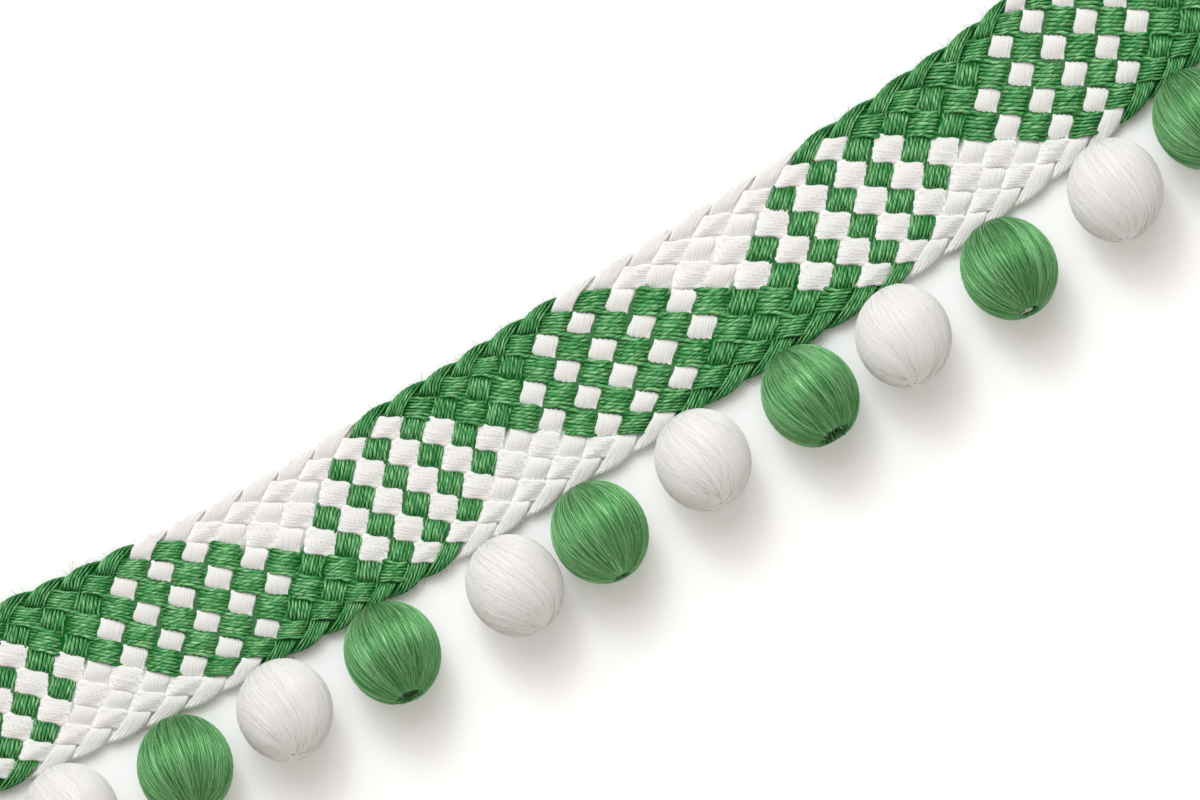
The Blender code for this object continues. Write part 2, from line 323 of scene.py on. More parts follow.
def mesh_from_tubes(name, tubes, shades, depths=None):
    """One object from many tubes, each with its own shade, and a depth for each of its rings, which the
    finish paints as shade on green yarn and as light on white.
    """
    points, faces, maps, caps, shade, deep = [], [], [], [], [], []
    start = 0
    for k, made in enumerate(tubes):
        points.append(made.points)
        faces += (made.faces + start).tolist()
        maps.append(made.maps)
        caps += end_caps(start, made.count, made.ring)
        shade.append(np.full(len(made.points), shades[k]))
        deep.append(np.repeat(depths[k] if depths else np.zeros(made.count), made.ring))
        start += len(made.points)
    mesh = bpy.data.meshes.new(name)
    mesh.from_pydata(np.concatenate(points).tolist(), [], faces + caps)
    add_yarn_map(mesh, np.concatenate(maps))
    add_numbers(mesh, "shade", np.concatenate(shade))
    # groove: how deep each ring dives, which the finish paints as shade on green yarn and as light on
    # white
    add_numbers(mesh, "groove", np.concatenate(deep))
    mesh.shade_smooth()
    return add_object(name, mesh)


print("a yarn's tube has a ring of points at each of its", len(steps_since_turn()), "places")

# %% [markdown]
# ## The course of a strand
# The yarns of a strand share one course. It narrows between two crossings and widens over them,
# and it never runs quite straight, because a hand pulled it. Between its crossings a strand also
# swings a little along the tape, pushed aside by the ones it meets. That makes the floats squarer
# and rounder than a drawn lattice would.

# %% The course of a strand
RISING_FILL = 0.93  # a strand's width against the room between its neighbours
FALLING_FILL = 1.13
WAIST = 0.82  # how narrow a strand gets between two crossings
TURN_WAIST = dict(green=0.86, white=1.02)  # and where it turns over the edge
TURN_REACH = 0.8  # steps from an edge over which the turn shapes the strand
TURN_BULGE = 0.5  # how much sooner the strand bulges there
ACROSS_WANDER = 0.00009  # how far its line strays, in metres
ALONG_WANDER = 0.00012
HEIGHT_WANDER = 0.00004
FALLING_LIFT = 0.00007  # the falling strands were pulled less tight, and lie a little higher
RISING_SWING = 0.00018  # along the tape, so that each float lies more squarely across it
FALLING_SWING = 0.00008
EDGE_SWING = 0.00014  # added to a rising strand's swing near both edges
FAR_SWING = 0.0006  # and near the far edge, where the floats that turn stand steepest
Course = namedtuple(
    "Course", "since turn_step row near level fill waist bulge across swerve swing sag half"
)


def strand_course(colour, turn_step):
    """What the yarns of a strand share, point by point: its line, its width and its dives."""
    since = steps_since_turn()
    row, from_turn, rising = row_of(since)
    level = wave_of(since, 0.0)
    fill = FALLING_FILL + (RISING_FILL - FALLING_FILL) * rising_share(since)
    near = np.exp(-((from_turn / TURN_REACH) ** 2))
    waist = WAIST + (1 - WAIST) * np.where(from_turn < 1, 1.0, np.abs(level))
    waist = waist * (1 - (1 - TURN_WAIST[colour]) * near)
    bulge = np.sign(level) * np.abs(level) ** (1 - TURN_BULGE * near)
    across = across_at(row) + slow_noise(since, ACROSS_WANDER)
    swerve = slow_noise(since, ALONG_WANDER)
    out = row / TURN_ROW
    edge_swing = EDGE_SWING * out**2 + FAR_SWING * np.maximum(out, 0) ** 4
    swing = np.where(rising, RISING_SWING + edge_swing, -FALLING_SWING)
    sag = slow_noise(since, HEIGHT_WANDER) + FALLING_LIFT * (1 - 2 * rising_share(since))
    half = fill * waist * strand_pitch(since + turn_step, row) / 2
    return Course(since, turn_step, row, near, level, fill, waist, bulge, across, swerve, swing, sag, half)


print("room for a strand in the middle, mm:", np.round(strand_pitch(0, 0) * 1000, 2))

# %% [markdown]
# ## The twelve strands
# The yarns of a strand lie in an arc that bulges away from whatever it crosses, and they draw
# together where they dive between two others, so a float looks like a small pillow. White yarn is
# softer and spreads flatter than green. Both ends of the tape are cut straight across, so every
# yarn stops where it reaches the cut.

# %% Make the strands
STRANDS = 12
YARNS = dict(green=7, white=8)
YARN_RING = 6
STRAND_LIFT = dict(green=0.00066, white=0.00041)  # its middle above the band's, on top
STRAND_DROP = 0.00066  # and below the band's, underneath
TURN_SCALLOP = 0.00055  # how far its middle yarns reach out past its outer ones at an edge
ARCH = dict(green=0.00044, white=0.00010)
LEVEL_SEAT = 0.35  # square of the place in a strand where a yarn lies at the strand's own height
FLATNESS = dict(green=0.85, white=0.75)  # below 1, a strand stays on top longer and dives faster
TURN_ARCH = 1.7  # how much rounder a strand is where it turns over the edge
CORNER_DROP = dict(green=0.00032, white=0.00065)  # how much lower its outer yarns are in a dive
YARN_HEIGHT = dict(green=0.00043, white=0.00033)
YARN_OVERLAP = dict(green=1.15, white=2.35)  # a yarn's width against its share of the strand
YARN_SPREAD = dict(green=1.0, white=0.86)
YARN_WANDER = dict(green=0.011, white=0.003)  # sideways, in steps
YARN_UNEVENNESS = dict(green=0.000018, white=0.000004)  # up and down
YARN_SIZES = dict(green=0.06, white=0.03)  # how much thicker or thinner a yarn can be
CUT_UNEVENNESS = 0.00012
DIVE_LEVEL = 0.85  # below this level a yarn takes, little by little, painted shade if green and a painted light rim if white
yarn_ends = dict(green=[], white=[])  # place and direction of each cut yarn, for the fraying


def cut_to_length(points, spare):
    """Keeps the stretch between the cut ends."""
    limit = BAND_LENGTH / 2 - spare
    inside = np.nonzero(np.abs(points[:, 0]) < limit)[0]
    return slice(inside[0], inside[-1] + 1)


def yarn_path(course, colour, seat):
    """The line of one yarn and its height as a wave. seat is its place in the strand, -1 to 1."""
    since, near = course.since, course.near
    wander = slow_noise(since, YARN_WANDER[colour], shortest=1.3, longest=6.0)
    shift = seat * course.fill * course.waist + wander
    reach = course.across - np.sign(course.row) * TURN_SCALLOP * near * (seat**2 - LEVEL_SEAT)
    along = along_at(since + course.turn_step + shift, course.across) + course.swerve
    along = along + course.swing * (1 - near) * np.sin(np.pi * (since + shift / 2))
    wave = wave_of(since, shift)
    wave = np.sign(wave) * np.abs(wave) ** FLATNESS[colour]
    arch = ARCH[colour] * course.bulge * (1 + (TURN_ARCH - 1) * near)
    corner = CORNER_DROP[colour] * seat**4 * (1 - np.abs(course.level))
    lift = arch * (LEVEL_SEAT - seat**2) - corner
    lift = lift + slow_noise(since, YARN_UNEVENNESS[colour], shortest=1.6, longest=5.0)
    middle = np.where(wave > 0, STRAND_LIFT[colour], STRAND_DROP) * wave
    height = BAND_THICKNESS / 2 + middle + course.sag + lift
    return np.stack([along, reach, height], 1), wave


def make_strand(name, colour, turn_step):
    """A bundle of flat yarns side by side, each a tube."""
    course = strand_course(colour, turn_step)
    tubes, shades, depths = [], [], []
    yarns = YARNS[colour]
    for k in range(yarns):
        seat = ((k + 0.5) / yarns * 2 - 1) * YARN_SPREAD[colour]
        path, wave = yarn_path(course, colour, seat)
        keep = cut_to_length(path, random.uniform(0, CUT_UNEVENNESS))
        lying = lay(path)
        side, up = tube_frames(lying)
        thick = 1 + random.uniform(-1, 1) * YARN_SIZES[colour]
        high = np.full(len(path), YARN_HEIGHT[colour] * thick)
        wide = course.half / yarns * YARN_OVERLAP[colour] * thick
        kept = lying[keep]
        tubes.append(tube(kept, side[keep], up[keep], wide[keep], high[keep], YARN_RING))
        shades.append(random.uniform(0, 1))
        # how deep the yarn dives, for the painted shade on green yarn and the painted light on white
        depths.append(np.clip((DIVE_LEVEL - wave[keep]) / DIVE_LEVEL, 0, 1))
        for end, before in ((0, 1), (-1, -2)):
            yarn_ends[colour].append((kept[end], kept[end] - kept[before]))
    return mesh_from_tubes(name, tubes, shades, depths)


strands = []
for k in range(STRANDS):
    colour = "white" if k >= STRANDS // 2 else "green"
    name = f"strand_{colour}_{k % (STRANDS // 2) + 1}"
    strands.append(make_strand(name, colour, 2 * k + 1))
print("strands:", len(strands), "faces each:", len(strands[0].data.polygons))

# %% [markdown]
# ## The inside of the plait
# Where four strands meet, a real plait shows no daylight, because the strands underneath fill
# the hollow. A thin inner sheet closes those hollows, and a number on each of its corners says
# how many of the strands there are white, so that it takes the white of white strands and, for
# green strands, the deep green that is painted shade.

# %% Make the inner sheet
GROUND_TOP = 0.00150
GROUND_EDGE_TOP = 0.00085  # near the edges, where the gaps are wider and show the strand below
GROUND_FOOT = 0.00075
GROUND_ROWS = 5.7
GROUND_POINTS = 12  # across the sheet
GROUND_INSET = 0.0004  # how far it stays inside the cut ends
SHORTEST_COLUMN = 1e-9  # a column pressed flat against a cut end is left out


def strand_is_white(step, row, rising):
    """Colour of the strand that rises or falls through a crossing."""
    track = step - row if rising else step + row
    turn = math.floor((track + STEPS / 2) / STEPS)
    return turn % 2 == 1 if rising else turn % 2 == 0


def ground_columns(rows):
    """The sheet's places along and across, step by step, and how white they are."""
    columns, white = [], []
    limit = BAND_LENGTH / 2 - GROUND_INSET
    across = across_at(rows)
    inner = np.clip(rows, -OUTER_ROW, OUTER_ROW)
    for step in range(FIRST_STEP, LAST_STEP + 1):
        along = np.clip(along_at(step, across), -limit, limit)
        if np.ptp(along) < SHORTEST_COLUMN:
            continue
        columns.append(np.stack([along, across], 1))
        share = [(strand_is_white(step, r, True) + strand_is_white(step, r, False)) / 2 for r in inner]
        white += share + share
    return columns, white


def ground_faces(count, size):
    """The sheet's top, underside and four thin sides. Each column has size points low and high."""
    faces = []
    for i in range(count - 1):
        low, high = 2 * size * i, 2 * size * i + size
        step_low, step_high = low + 2 * size, high + 2 * size
        for k in range(size - 1):
            faces.append((high + k, step_high + k, step_high + k + 1, high + k + 1))
            faces.append((low + k, low + k + 1, step_low + k + 1, step_low + k))
        faces.append((low, step_low, step_high, high))
        faces.append((low + size - 1, high + size - 1, step_high + size - 1, step_low + size - 1))
    last_low = 2 * size * (count - 1)
    for k in range(size - 1):
        faces.append((k, size + k, size + k + 1, k + 1))
        start = last_low + k
        faces.append((start, start + 1, start + size + 1, start + size))
    return faces


def make_ground():
    """The thin closed sheet, lower near both edges."""
    rows = np.linspace(-GROUND_ROWS, GROUND_ROWS, GROUND_POINTS)
    tops = np.where(np.abs(rows) > EASED_ROWS, GROUND_EDGE_TOP, GROUND_TOP)
    columns, white = ground_columns(rows)
    points = []
    for column in columns:
        points += [(along, across, GROUND_FOOT) for along, across in column]
        points += [(along, across, top) for (along, across), top in zip(column, tops)]
    mesh = bpy.data.meshes.new("plait_inside")
    mesh.from_pydata(lay(points).tolist(), [], ground_faces(len(columns), len(rows)))
    add_numbers(mesh, "white_share", white)
    return add_object("plait_inside", mesh)


ground = make_ground()
print("inner sheet faces:", len(ground.data.polygons))

# %% [markdown]
# ## The form of a ball
# Each ball is a bead with a hole, a little longer along the hole than across it, and it lies on
# one side. A short table gives its place, how it is turned and how its lower mouth looks: the
# white balls are wound shut, and one green mouth is wide open. A plain sphere would have no
# mouths. So the section runs from deep in one mouth, over the ball, into the other.

# %% Ball forms
BALL_ACROSS = 0.0139
BALL_ALONG_HOLE = 0.0153
FLAT_SPOT_DEPTH = 0.0002
Ball = namedtuple("Ball", "number along across turn tilt mouth lip")
BALLS = [  # places and the radius of the lower mouth and of its lip in metres, turns in degrees
    Ball(1, -0.1104, -0.0192, -10, 24, 0.0005, 0.0015),
    Ball(2, -0.0932, -0.0197, -8, 26, 0.00005, 0.0008),
    Ball(3, -0.0756, -0.0199, -12, 27, 0.0004, 0.0014),
    Ball(4, -0.0604, -0.0189, -16, 31, 0.00005, 0.0008),
    Ball(5, -0.0436, -0.0192, -8, 21, 0.0011, 0.0023),
    Ball(6, -0.0239, -0.0199, 2, 14, 0.00005, 0.0008),
    Ball(7, -0.0095, -0.0198, -5, 15, 0.0006, 0.0015),
    Ball(8, 0.0087, -0.0188, -10, 25, 0.00005, 0.0008),
    Ball(9, 0.0267, -0.0191, 0, 16, 0.0019, 0.0029),
    Ball(10, 0.0425, -0.0190, -20, 20, 0.00005, 0.0008),
    Ball(11, 0.0600, -0.0193, -10, 22, 0.0008, 0.0018),
    Ball(12, 0.0779, -0.0192, -26, 14, 0.00005, 0.0008),
    Ball(13, 0.0933, -0.0191, -12, 24, 0.0005, 0.0015),
    Ball(14, 0.1101, -0.0194, -8, 26, 0.00005, 0.0008),
]
UPPER_MOUTH = 0.0004
UPPER_LIP = 0.0013
BALL_RINGS = 17
LIP_RINGS = 4
DISH_SLOPE = 0.2  # how far a mouth lies below its lip, against the lip's radius
HOLE_DEPTH = 2.6  # and how much deeper the thread ends, against the mouth's radius


def colour_of(ball):
    return ("white", "green")[ball.number % 2]


def ball_axis(ball):
    """Direction of the hole, from the tape outwards."""
    heading = float(rise(np.array(ball.along))[1])
    bearing = heading - math.pi / 2 + math.radians(ball.turn)
    tilt = math.radians(ball.tilt)
    flat = math.cos(tilt)
    return Vector((math.cos(bearing) * flat, math.sin(bearing) * flat, math.sin(tilt)))


def ball_centre(ball):
    """Middle of the ball, which sinks onto its flat spot."""
    tilt = math.radians(ball.tilt)
    reach = math.hypot(BALL_ACROSS / 2 * math.cos(tilt), BALL_ALONG_HOLE / 2 * math.sin(tilt))
    return Vector(lay([(ball.along, ball.across, reach - FLAT_SPOT_DEPTH)])[0])


def on_ball(ball, points, lowest):
    """Moves points from a ball that stands on its hole's axis to where the ball lies."""
    turned = np.array(ball_axis(ball).to_track_quat("Z", "Y").to_matrix())
    lying = points @ turned.T + np.array(ball_centre(ball))
    lying[:, 2] = np.maximum(lying[:, 2], lowest)
    return lying


def ring_levels(ball):
    """Angles of the ball's rings above and below its widest place, in radians."""
    upper, lower = (math.acos(lip / (BALL_ACROSS / 2)) for lip in (UPPER_LIP, ball.lip))
    return np.linspace(-upper, lower, BALL_RINGS)


def mouth_section(mouth, lip):
    """Radius, and depth below the lip, from the lip into the hole."""
    inner = np.linspace(0, 1, LIP_RINGS + 1)[1:]
    radius = mouth + (lip - mouth) * (1 - np.sin(inner * np.pi / 2))
    return radius, (DISH_SLOPE * lip + HOLE_DEPTH * mouth * inner) * inner**2


def ball_section(ball):
    """Radius and place along the hole, from deep in the upper mouth, over the ball, to the lower."""
    angle = ring_levels(ball)
    radius, height = BALL_ACROSS / 2 * np.cos(angle), BALL_ALONG_HOLE / 2 * np.sin(angle)
    upper_radius, upper_depth = mouth_section(UPPER_MOUTH, UPPER_LIP)
    lower_radius, lower_depth = mouth_section(ball.mouth, ball.lip)
    radius = np.concatenate([upper_radius[::-1], radius, lower_radius])
    height = np.concatenate([height[0] + upper_depth[::-1], height, height[-1] - lower_depth])
    return radius, height


print("rings on a ball:", len(ball_section(BALLS[0])[0]))

# %% [markdown]
# ## The wound thread
# Fine thread covers each ball, from one mouth of the hole to the other. The winding is real
# relief: a ridge for each turn of thread, slightly slanted, uneven in width and height, over a
# form that is a little lumpy. A plain sphere with a bump map would have a smooth outline, no
# dimple where the threads meet, and none of the soft band of light that lies across the
# threads. The surface is smooth along a thread and creased between two.

# %% Make the balls
TURNS = 230  # threads side by side round a ball
TURN_WIDTHS = (0.55, 1.45)  # narrowest and widest, against an even one
TURN_WAVES = (3, 7, 16)  # how often the threads lean to one side on their way round
TURN_WAVE_SIZE = 0.03
RIDGE_STRENGTHS = (0.3, 1.0)
TURN_SHADES = (0.05, 0.55)
THREAD_RELIEF = dict(green=0.000036, white=0.000028)
RAGGED_MOUTH = 0.45
WINDING_SLANT = dict(green=-0.25, white=-0.90)  # radians from the widest place to a mouth
SLANT_SHARES = (0.6, 1.4)
LUMP = 0.00005
LUMP_WAVES = (2, 3, 5, 11)
FADE_RATE = 1.6  # relief is full where the radius times this is more than the ball's largest
LEAST_RELIEF = 0.15


def ball_lumps(ball, around, level):
    """How far the wound thread stands out from an even form, place by place."""
    waves = [np.sin(n * around + n * ball.number + 2 * level) / n for n in LUMP_WAVES]
    return LUMP * sum(waves)


def relief_left(share):
    """Share of the relief that is left where the ball has this share of its full radius."""
    return np.clip(share * FADE_RATE, LEAST_RELIEF, 1)


def crease_threads(mesh, columns):
    """Keeps the surface smooth along each thread and sharp from one thread to the next."""
    ends = np.zeros(len(mesh.edges) * 2, np.int32)
    mesh.edges.foreach_get("vertices", ends)
    low, high = ends.reshape(-1, 2).T
    sharp = mesh.attributes.new("sharp_edge", "BOOLEAN", "EDGE")
    sharp.data.foreach_set("value", np.abs(high - low) == columns)


def wound_surface(ball, colour, columns):
    """Rings of points on a ball that stands on its hole, and how deep each column's valley is, for painted
    shade.
    """
    radius, height = ball_section(ball)
    widths = np.repeat(random.uniform(*TURN_WIDTHS, TURNS), 2)
    angle = np.cumsum(widths) / widths.sum() * 2 * np.pi
    level = np.clip(height / (BALL_ALONG_HOLE / 2), -1, 1)
    slant = WINDING_SLANT[colour] * random.uniform(*SLANT_SHARES) * np.arcsin(level) / (np.pi / 2)
    around = angle[None, :] + slant[:, None]
    for waves in TURN_WAVES:
        phase, _ = random.uniform(0, 2 * np.pi, 2)
        lean = np.sin(waves * angle + phase + 2 * level[:, None]) * TURN_WAVE_SIZE
        around = around + lean / waves
    ridge = np.where(np.arange(columns) % 2 == 0, 1.0, -1.0)
    strength = np.repeat(random.uniform(*RIDGE_STRENGTHS, TURNS), 2)
    relief = THREAD_RELIEF[colour] * (ridge * strength)[None, :]
    relief = relief + ball_lumps(ball, around, level[:, None])
    out = radius[:, None] + relief * relief_left(radius / (BALL_ACROSS / 2))[:, None]
    ragged = np.repeat(random.uniform(-1, 1, TURNS), 2) * RAGGED_MOUTH * ball.mouth
    for depth in range(LIP_RINGS):
        out[-1 - depth] += ragged * (LIP_RINGS - depth) / LIP_RINGS
    heights = np.repeat(height[:, None], columns, 1)
    points = np.stack([out * np.cos(around), out * np.sin(around), heights], -1)
    return points, (1 - ridge) / 2 * strength


def make_ball(ball):
    """The wound ball, with a ridge and a valley for each turn of thread."""
    colour, columns = colour_of(ball), 2 * TURNS
    points, valley = wound_surface(ball, colour, columns)
    rows = len(points)
    faces, maps = ring_faces(np.arange(rows) / rows, columns)
    mesh = bpy.data.meshes.new("ball")
    lying = on_ball(ball, points.reshape(-1, 3), 0.0)
    mesh.from_pydata(lying.tolist(), [], faces.tolist() + end_caps(0, rows, columns))
    add_yarn_map(mesh, maps)
    shades = np.repeat(random.uniform(*TURN_SHADES, TURNS), 2)
    add_numbers(mesh, "shade", np.tile(shades, rows))
    # the valley between two threads, which the finish fills with painted shade
    add_numbers(mesh, "groove", np.tile(valley, rows))
    mesh.shade_smooth()
    crease_threads(mesh, columns)
    return add_object(f"wound_ball_{colour}_{ball.number:02d}", mesh)


balls = [make_ball(ball) for ball in BALLS]
print("balls:", len(balls), "faces each:", len(balls[0].data.polygons))

# %% [markdown]
# ## Loose turns and frayed ends
# The last turns of thread on a ball don't lie as neatly as the ones below. They cross them at a
# small angle, and they catch the light as single threads. Round the wider mouths the thread ends
# stick up and fray. Both are thin tubes of three sides, since a thread is seen from far off.

# %% Make the loose threads
LOOSE_TURNS = dict(green=120, white=60)
LOOSE_RADIUS = dict(green=0.000042, white=0.000036)
LOOSE_SEAT = dict(green=0.6, white=0.3)  # height of a loose turn's middle, against its radius
LOOSE_SLANT = dict(green=0.18, white=0.35)
LOOSE_BOW = 0.06
LOOSE_SHADES = (0.45, 1)
STARTING_RINGS = 3  # a loose turn starts on one of the ball's first rings
ENDING_RINGS = 4  # and ends on one of its last
THREAD_RING = 3
OFF_THREAD = (0.13, 0.31, 0.94)  # hardly any thread runs this way
NEAT_MOUTH = 0.0003  # a mouth of this radius doesn't fray
FRAYED_PER_METRE = 120000  # ends for each metre of mouth radius beyond that
FRAYED_RADIUS = 0.00006
FRAYED_LENGTHS = (0.0003, 0.0009)
FRAYED_PLACES = (0.2, 1)  # from the lip, 0, to the mouth, 1
FRAYED_POINTS = 4
FRAYED_DEPTH = 0.0005
FRAYED_LEAN = -0.4  # inwards, against its length
FRAYED_SPREAD = 0.5
FRAYED_SPIN = 0.35
FRAYED_SHADES = (0.3, 1)
UNDYED_SHARE = 0.2  # of the frayed ends


def frames_along(line):
    """Two directions square to a line that may run any way."""
    ahead = np.gradient(line, axis=0)
    ahead /= np.linalg.norm(ahead, axis=1)[:, None] + TINY
    side = np.cross(ahead, np.array(OFF_THREAD))
    side /= np.linalg.norm(side, axis=1)[:, None] + TINY
    return side, np.cross(ahead, side)


def round_thread(line, radius, ring):
    side, up = frames_along(line)
    thick = radius * np.ones(len(line))
    return tube(line, side, up, thick, thick, ring)


def loose_turn(ball, start, colour):
    """It has a point on each ring of the ball, so that it lies on the ball all the way."""
    thick = LOOSE_RADIUS[colour]
    first = random.integers(0, STARTING_RINGS)
    last = random.integers(BALL_RINGS - ENDING_RINGS, BALL_RINGS)
    level = ring_levels(ball)[first : last + 1]
    slant = random.normal(WINDING_SLANT[colour], LOOSE_SLANT[colour])
    bow = random.normal(0, LOOSE_BOW)
    angle = start + slant * level / (np.pi / 2) + bow * level**2
    lumps = ball_lumps(ball, angle, np.sin(level)) * relief_left(np.cos(level))
    proud = thick * LOOSE_SEAT[colour] + lumps
    radius = (BALL_ACROSS / 2 + proud) * np.cos(level)
    height = (BALL_ALONG_HOLE / 2 + proud) * np.sin(level)
    line = np.stack([radius * np.cos(angle), radius * np.sin(angle), height], 1)
    return round_thread(on_ball(ball, line, thick), thick, THREAD_RING)


def frayed_end(ball):
    """A short end that stands up between the lip and the mouth and leans over the hole."""
    angle = random.uniform(0, 2 * np.pi)
    inward = random.uniform(*FRAYED_PLACES)
    out = ball.lip + (ball.mouth - ball.lip) * inward
    dish = (DISH_SLOPE * ball.lip + ball.mouth) * inward
    foot = BALL_ALONG_HOLE / 2 - FRAYED_DEPTH - dish
    long = random.uniform(*FRAYED_LENGTHS)
    lean = random.normal(FRAYED_LEAN, FRAYED_SPREAD)
    steps = np.linspace(0, 1, FRAYED_POINTS)
    radius = out + lean * long * steps**2
    spin = angle + random.normal(0, FRAYED_SPIN) * steps
    line = np.stack([radius * np.cos(spin), radius * np.sin(spin), foot + long * steps], 1)
    return round_thread(on_ball(ball, line, FRAYED_RADIUS), FRAYED_RADIUS, THREAD_RING)


def make_loose(ball):
    """The layer of loose turns over one ball."""
    colour = colour_of(ball)
    count = LOOSE_TURNS[colour]
    starts = (np.arange(count) + random.uniform(0, 1, count)) / count * 2 * np.pi
    tubes = [loose_turn(ball, start, colour) for start in starts]
    shades = random.uniform(*LOOSE_SHADES, count)
    return mesh_from_tubes(f"loose_thread_{colour}_{ball.number:02d}", tubes, shades)


def make_frays(colour, share):
    """A share of the frayed ends at all mouths, in one colour."""
    tubes = []
    for ball in BALLS:
        count = FRAYED_PER_METRE * max(ball.mouth - NEAT_MOUTH, 0) * share
        tubes += [frayed_end(ball) for _ in range(int(count))]
    shades = random.uniform(*FRAYED_SHADES, len(tubes))
    return mesh_from_tubes(f"frayed_thread_{colour}", tubes, shades)


loose = [make_loose(ball) for ball in BALLS]
frays = [make_frays("green", 1 - UNDYED_SHARE), make_frays("white", UNDYED_SHARE)]
print("faces of a loose layer:", len(loose[0].data.polygons))
print("faces of the frays:", [len(piece.data.polygons) for piece in frays])

# %% [markdown]
# ## The ties
# A few strands of thread come out of the ball's upper mouth and are caught in the band's edge
# with a small knot. They run on through the bead and end in a knot in the lower mouth. Three thin
# tubes twist round one smooth line, and a tight coil stands for each knot, since at this size a
# knot shows only its wraps.

# %% Make the ties
TIE_THREADS = 3
TIE_SPREAD = 0.00017
TIE_THREAD_RADIUS = 0.00015
TIE_PITCH = 0.003
TIE_RING = 6
TIE_POINTS = 60
TIE_INSIDE = 0.0008  # how far inside the upper mouth its line is centred in the hole
KNOT_INSIDE = 0.0012  # the knot lies this and the mouth's radius inside the lower end
Knot = namedtuple("Knot", "radius length turns")
HOLE_KNOT = Knot(0.0005, 0.0008, 3)
EDGE_KNOT = Knot(0.00030, 0.0007, 3)
LOOSE_KNOT = Knot(0.00036, 0.0012, 4)
COIL_POINTS = 10  # on each turn of a knot
COIL_END = 0.55  # how thick a knot is at its ends, against its middle
COIL_SWELL = 0.45  # and how much thicker its middle is than that
OFF_KNOT = (0.3, 0.2, 0.9)  # a direction that no knot's axis has
JUST_BEFORE = 1e-9  # keeps the last point of a line inside its last stretch
Anchor = namedtuple("Anchor", "across height")
TUCKED_IN = [Anchor(-0.0127, 0.0012), Anchor(-0.0120, 0.0011), Anchor(-0.0112, 0.0011)]
IN_SIGHT = [Anchor(-0.0121, 0.0028), Anchor(-0.0115, 0.0024), Anchor(-0.0109, 0.0016)]
TIES_IN_SIGHT = (9, 13)


def smooth_line(points, count):
    """A smooth curve through a few points, by the same rule as the repeat table."""
    points = np.asarray(points, float)
    padded = np.concatenate([[2 * points[0] - points[1]], points, [2 * points[-1] - points[-2]]])
    at = np.linspace(0, len(points) - 1 - JUST_BEFORE, count)
    index = np.floor(at).astype(int)
    before, start, end, after = (padded[index + k] for k in range(4))
    return curve_between(before, start, end, after, (at - index)[:, None])


def twisted(line, count, spread, radius, pitch):
    """Several threads twisted round one line."""
    side, up = frames_along(line)
    run = distance_along(line)
    made = []
    for k in range(count):
        angle = run / pitch * 2 * np.pi + k / count * 2 * np.pi
        offset = side * np.cos(angle)[:, None] + up * np.sin(angle)[:, None]
        made.append(round_thread(line + offset * spread, radius, TIE_RING))
    return made


def knot_coils(centre, axis, knot):
    """A thread coiled tightly round an axis, as a knot looks from outside."""
    axis = np.array(axis.normalized())
    side = np.cross(axis, np.array(OFF_KNOT))
    side /= np.linalg.norm(side)
    up = np.cross(axis, side)
    at = np.linspace(0, 1, COIL_POINTS * knot.turns)
    angle = at * knot.turns * 2 * np.pi
    bulge = knot.radius * (COIL_END + COIL_SWELL * np.sin(at * np.pi))
    line = (
        np.array(centre)
        + axis * ((at - 0.5) * knot.length)[:, None]
        + side * (np.cos(angle) * bulge)[:, None]
        + up * (np.sin(angle) * bulge)[:, None]
    )
    return round_thread(line, TIE_THREAD_RADIUS, TIE_RING)


def make_tie(ball):
    """The twisted threads from the lower mouth, through the bead, to the band's edge."""
    centre, axis = ball_centre(ball), ball_axis(ball)
    end = BALL_ALONG_HOLE / 2
    along = ball.along - end * math.sin(math.radians(ball.turn))
    anchors = IN_SIGHT if ball.number in TIES_IN_SIGHT else TUCKED_IN
    caught = [Vector(lay([(along, a.across, a.height)])[0]) for a in anchors]
    leaving = centre - axis * (end - TIE_INSIDE)
    knot = centre + axis * (end - KNOT_INSIDE - ball.mouth)
    line = smooth_line([knot, centre, leaving] + caught, TIE_POINTS)
    tubes = twisted(line, TIE_THREADS, TIE_SPREAD, TIE_THREAD_RADIUS, TIE_PITCH)
    tubes.append(knot_coils(knot, axis, HOLE_KNOT))
    tubes.append(knot_coils(caught[0], caught[1] - caught[0], EDGE_KNOT))
    shades = random.uniform(0, 1, len(tubes))
    return mesh_from_tubes(f"tie_thread_{colour_of(ball)}_{ball.number:02d}", tubes, shades)


ties = [make_tie(ball) for ball in BALLS]
print("ties:", len(ties), "faces each:", len(ties[0].data.polygons))

# %% [markdown]
# ## The undyed knot
# At one green ball the tie's loose end is undyed, and its knot lies pale across the lower mouth
# with two short tails. It is made like the other knots, as a coil with a thin tube for each tail.

# %% Make the undyed knot
KNOTTED_BALL = 11
LOOSE_KNOT_INSIDE = 0.0008
TAIL_LEANS = (-0.5, 0.4)
TAIL_MIDDLE = (0.0008, 0.0003)  # sideways and along the hole
TAIL_END = (0.0013, 0.001)
TAIL_RADIUS = 0.0001
TAIL_POINTS = 10
LOOSE_KNOT_SHADES = [0.2, 0.8, 0.5]


def make_mouth_knot(ball):
    """The tie's loose end of undyed thread, knotted across the ball's lower mouth."""
    centre, axis = ball_centre(ball), ball_axis(ball)
    sideways = axis.cross(Vector((0, 0, 1))).normalized()
    place = centre + axis * (BALL_ALONG_HOLE / 2 - LOOSE_KNOT_INSIDE)
    tubes = [knot_coils(place, sideways, LOOSE_KNOT)]
    for lean in TAIL_LEANS:
        middle = place + sideways * TAIL_MIDDLE[0] + axis * TAIL_MIDDLE[1]
        end = place + sideways * TAIL_END[0] + axis * lean * TAIL_END[1]
        tail = smooth_line([place, middle, end], TAIL_POINTS)
        tubes.append(round_thread(tail, TAIL_RADIUS, TIE_RING))
    return mesh_from_tubes(f"mouth_knot_white_{ball.number:02d}", tubes, LOOSE_KNOT_SHADES)


